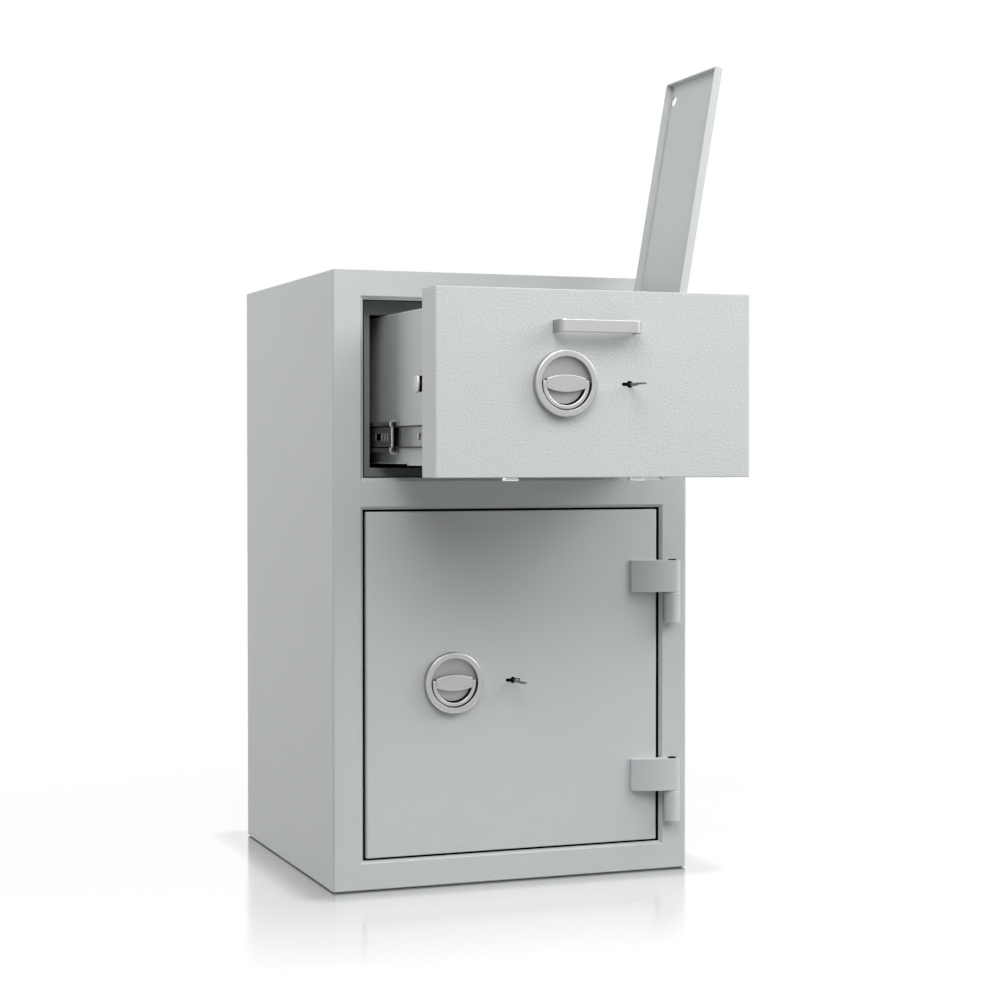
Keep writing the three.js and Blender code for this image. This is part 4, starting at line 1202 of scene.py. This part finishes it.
low, high = span("drawer_bolts_lower")
y = middle_of("drawer_bolts_lower").y
crossbar = soften(block((low.x, y - 2, high.z - 15), (high.x, y + 2, high.z)), 0.6)
lower = [bolt("z", low.z, low.z + lower_bolt_long, x, y) for x in lower_bolts_x]
# The lower bolts' paler steel is a painted highlight.
stand_in(joined(*lower, crossbar), "drawer_bolts_lower", "_turned", steel_painted_bright)

low, high = span("door_bolts")
y = middle_of("door_bolts").y
bolt_heights = [low.z + bolt_radius, (low.z + high.z) / 2, high.z - bolt_radius]
bolts = [bolt("x", low.x, low.x + door_bolt_long, y, z) for z in bolt_heights]
dogs_low, dogs_high = span("door_dogs")
dogs = [rod("x", dog_radius, dogs_low.x, dogs_high.x, y, z, 1.2, 48) for z in bolt_heights]
for node, bars, x in (
    ("door_bolts", bolts, low.x + door_bolt_long - bar_wide), ("door_dogs", dogs, dogs_low.x),
):
    low, high = span(node)
    upright_bar = soften(block((x, y - 5, low.z), (x + bar_wide, y + 5, high.z)), 0.8)
    stand_in(joined(*bars, upright_bar), node, "_turned", steel)
print("bolts and dogs turned")

# %% [markdown]
# ## Bolt cover
# A tray of thin sheet stands over the door's boltwork, open towards the door, with a hole for each
# bolt and dog. A block loses its front face, gets its wall, and is drilled.

# %% Bolt cover
low, high = span("bolt_cover")
cover = reshape(block(low, high), "FACE", facing_front, lambda: bpy.ops.mesh.delete(type="FACE"))
modify(cover, "SOLIDIFY", thickness=sheet * mm, offset=-1.0)
soften(cover, 0.5, 3)
cut_out(cover, *(
    bore("x", radius + 0.3, x, x, y, z)
    for radius, x in ((bolt_radius, low.x), (dog_radius, high.x)) for z in bolt_heights
))
stand_in(cover, "bolt_cover", "_sheet", inside_paint)
print("bolt cover drilled")

# %% [markdown]
# ## Drop flap and tray bay floor
# The flap is the floor of the well: a plate rolled round a rod along its front edge. The floor of
# the bolt bay has two holes for the lower bolts.

# %% Drop flap and tray bay floor
low, high = span("drop_flap")
rod_y, rod_z = middle_of("flap_hinge_rod").yz
roll = [(rod_y, low.z), (high.y, low.z), (high.y, low.z + sheet)]
roll += arc(rod_y, rod_z, 4.0, -38, 270, 24)[:-1]
flap = soften(swept(roll, "x", low.x, high.x), 0.25)
stand_in(cut_out(flap, bore("x", 2.8, low.x, high.x, rod_y, rod_z)), "drop_flap", "_plate", paint)

low, high = span("lock_bay_floor")
bolt_y = middle_of("drawer_bolts_lower").y
holes = [bore("z", bolt_hole, low.z, high.z, x, bolt_y) for x in lower_bolts_x]
stand_in(cut_out(soften(block(low, high), 0.35), *holes), "lock_bay_floor", "_sheet", paint)
print("flap and bay floor")


# %% [markdown]
# ## Screws
# Low screws hold the rear panel and the bolt cover. One is turned and given a crossed recess, then
# copied to each place with its own mesh. The rear ones sit in the recess behind the jacket's edge.

# %% Screws
def screw(x, y, z):
    """A low head on a face that looks backwards, with a crossed recess."""
    head = [(0, 0), (3.2, 0), (3.9, -0.35), (4.1, -0.8), (4.1, -2.4), (0, -2.4)]
    return cut_out(turned(head, "y", (x, y, z), 24), *(
        block((x - wide, y - 1.1, z - tall), (x + wide, y + 1.1, z + tall))
        for wide, tall in ((2.2, 0.45), (0.45, 2.2))
    ))


def screw_set(node, from_bottom, past_middle, from_top, inset=14):
    """Two columns of three screws on the rear face of a node."""
    low, high = span(node)
    heights = low.z + from_bottom, (low.z + high.z) / 2 + past_middle, high.z - from_top
    first, *rest = [(x, z) for z in heights for x in (low.x + inset, high.x - inset)]
    one = screw(first[0], high.y, first[1])
    others = [copied(one, (x - first[0], 0, z - first[1])) for x, z in rest]
    dress(joined(one, *others), node + "_screws", zinc, body_of_node[node])


screw_set("rear_panel", 18, 0, 14)
screw_set("bolt_cover", 16, 60, 16)
print("screws set")


# %% [markdown]
# ## Floor, backdrop and light
# A studio shot: a white floor that runs to the horizon, five soft lamps round the safe, and a pale
# sky for the rest. One more lamp hangs overhead and shows only in the glossy metals. The camera
# and the metals see the floor and the sky as white, while the safe is lit at a plain level.

# %% Floor, backdrop and light
def seen_directly(finish):
    """One where the camera, a gloss or a clear surface looks, and nothing where light is gathered."""
    camera_ray, glossy_ray, clear_ray = (
        finish.node("ShaderNodeLightPath", out=name)
        for name in ("Is Camera Ray", "Is Glossy Ray", "Is Transmission Ray")
    )
    return camera_ray.larger(glossy_ray).larger(clear_ray)


def studio_floor():
    """White where it is seen, with the shadow that falls on it, a painted contact shadow round the
    foot, and a fading mirror image of what stands on it.
    """
    finish = new_finish("studio_floor")
    aside, ahead = (
        (finish.place_on(axis).absolute() - half).larger(0.0)
        for axis, half in (("X", cad_high.x), ("Y", -cabinet_face))
    )
    distance = (aside * aside + ahead * ahead).root()

    def fading(reach, most):
        """A share that falls evenly from the object's foot to nothing."""
        return finish.node("ShaderNodeMapRange", {"Value": distance, 1: 0.0, 2: reach, 3: most, 4: 0.0})

    def matt(grey):
        return finish.node("ShaderNodeBsdfDiffuse", {"Color": (grey, grey, grey, 1)})

    glow = finish.node("ShaderNodeEmission", {"Color": (1, 1, 1, 1), "Strength": 1.02})
    gloss = finish.node("ShaderNodeBsdfGlossy", {"Color": (1, 1, 1, 1), "Roughness": 0.14})
    shown = finish.mixed(fading(0.06, 0.3) + fading(1.2, 0.12), glow, matt(0.9))
    # Painted contact shadow: a near-black share darkens the floor round the foot by distance alone.
    shown = finish.mixed(fading(0.055, 0.8), shown, matt(0.03))
    shown = finish.mixed(fading(0.44, 0.56) + fading(0.07, 0.26), shown, gloss)
    return finish.close(finish.mixed(seen_directly(finish), matt(0.4), shown))


floor = applied(added(
    bpy.ops.mesh.primitive_grid_add, x_subdivisions=4, y_subdivisions=4, size=40,
    location=(0, 0, -0.2 * mm),
))
floor.name = "floor"
floor.data.materials.append(studio_floor())
floor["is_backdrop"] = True

world = bpy.data.worlds.new("studio")
bpy.context.scene.world = world
sky = Finish(world, "ShaderNodeOutputWorld")
dim, white = (
    sky.node("ShaderNodeBackground", {"Color": (1, 1, 1, 1), "Strength": strength})
    for strength in (0.05, 1.0)
)
sky.close(sky.mixed(seen_directly(sky), dim, white))


def softbox(name, place, aim, size, power):
    """A large square lamp, turned to face a point."""
    lamp = added(bpy.ops.object.light_add, type="AREA", location=place)
    lamp.name = name
    lamp.rotation_euler = (Vector(aim) - Vector(place)).to_track_quat("-Z", "Y").to_euler()
    lamp.data.shape = "RECTANGLE"
    lamp.data.size, lamp.data.size_y, lamp.data.energy = size, size, power
    return lamp


aim, lamp_distance = Vector((0, -0.2, 0.45)), 3
for name, turn, lift, size, power in (
    ("right", 48, 36, 2.1, 35), ("left", -25, 45, 1.8, 44), ("front", 0, 30, 1.8, 18),
    ("rear", -123, 16, 1.8, 37), ("side", 72, 30, 1.8, 43),
):
    turn, lift = math.radians(turn), math.radians(lift)
    way = Vector((math.sin(turn) * math.cos(lift), -math.cos(turn) * math.cos(lift), math.sin(lift)))
    softbox(name, aim + lamp_distance * way, aim, size, power)
over = aim + Vector((0, -0.3, 3))
softbox("overhead", over, over - Vector((0, 0, 1)), 1.2, 60).visible_diffuse = False
print("floor, sky and lamps set")

# %% Sizes
low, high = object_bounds()
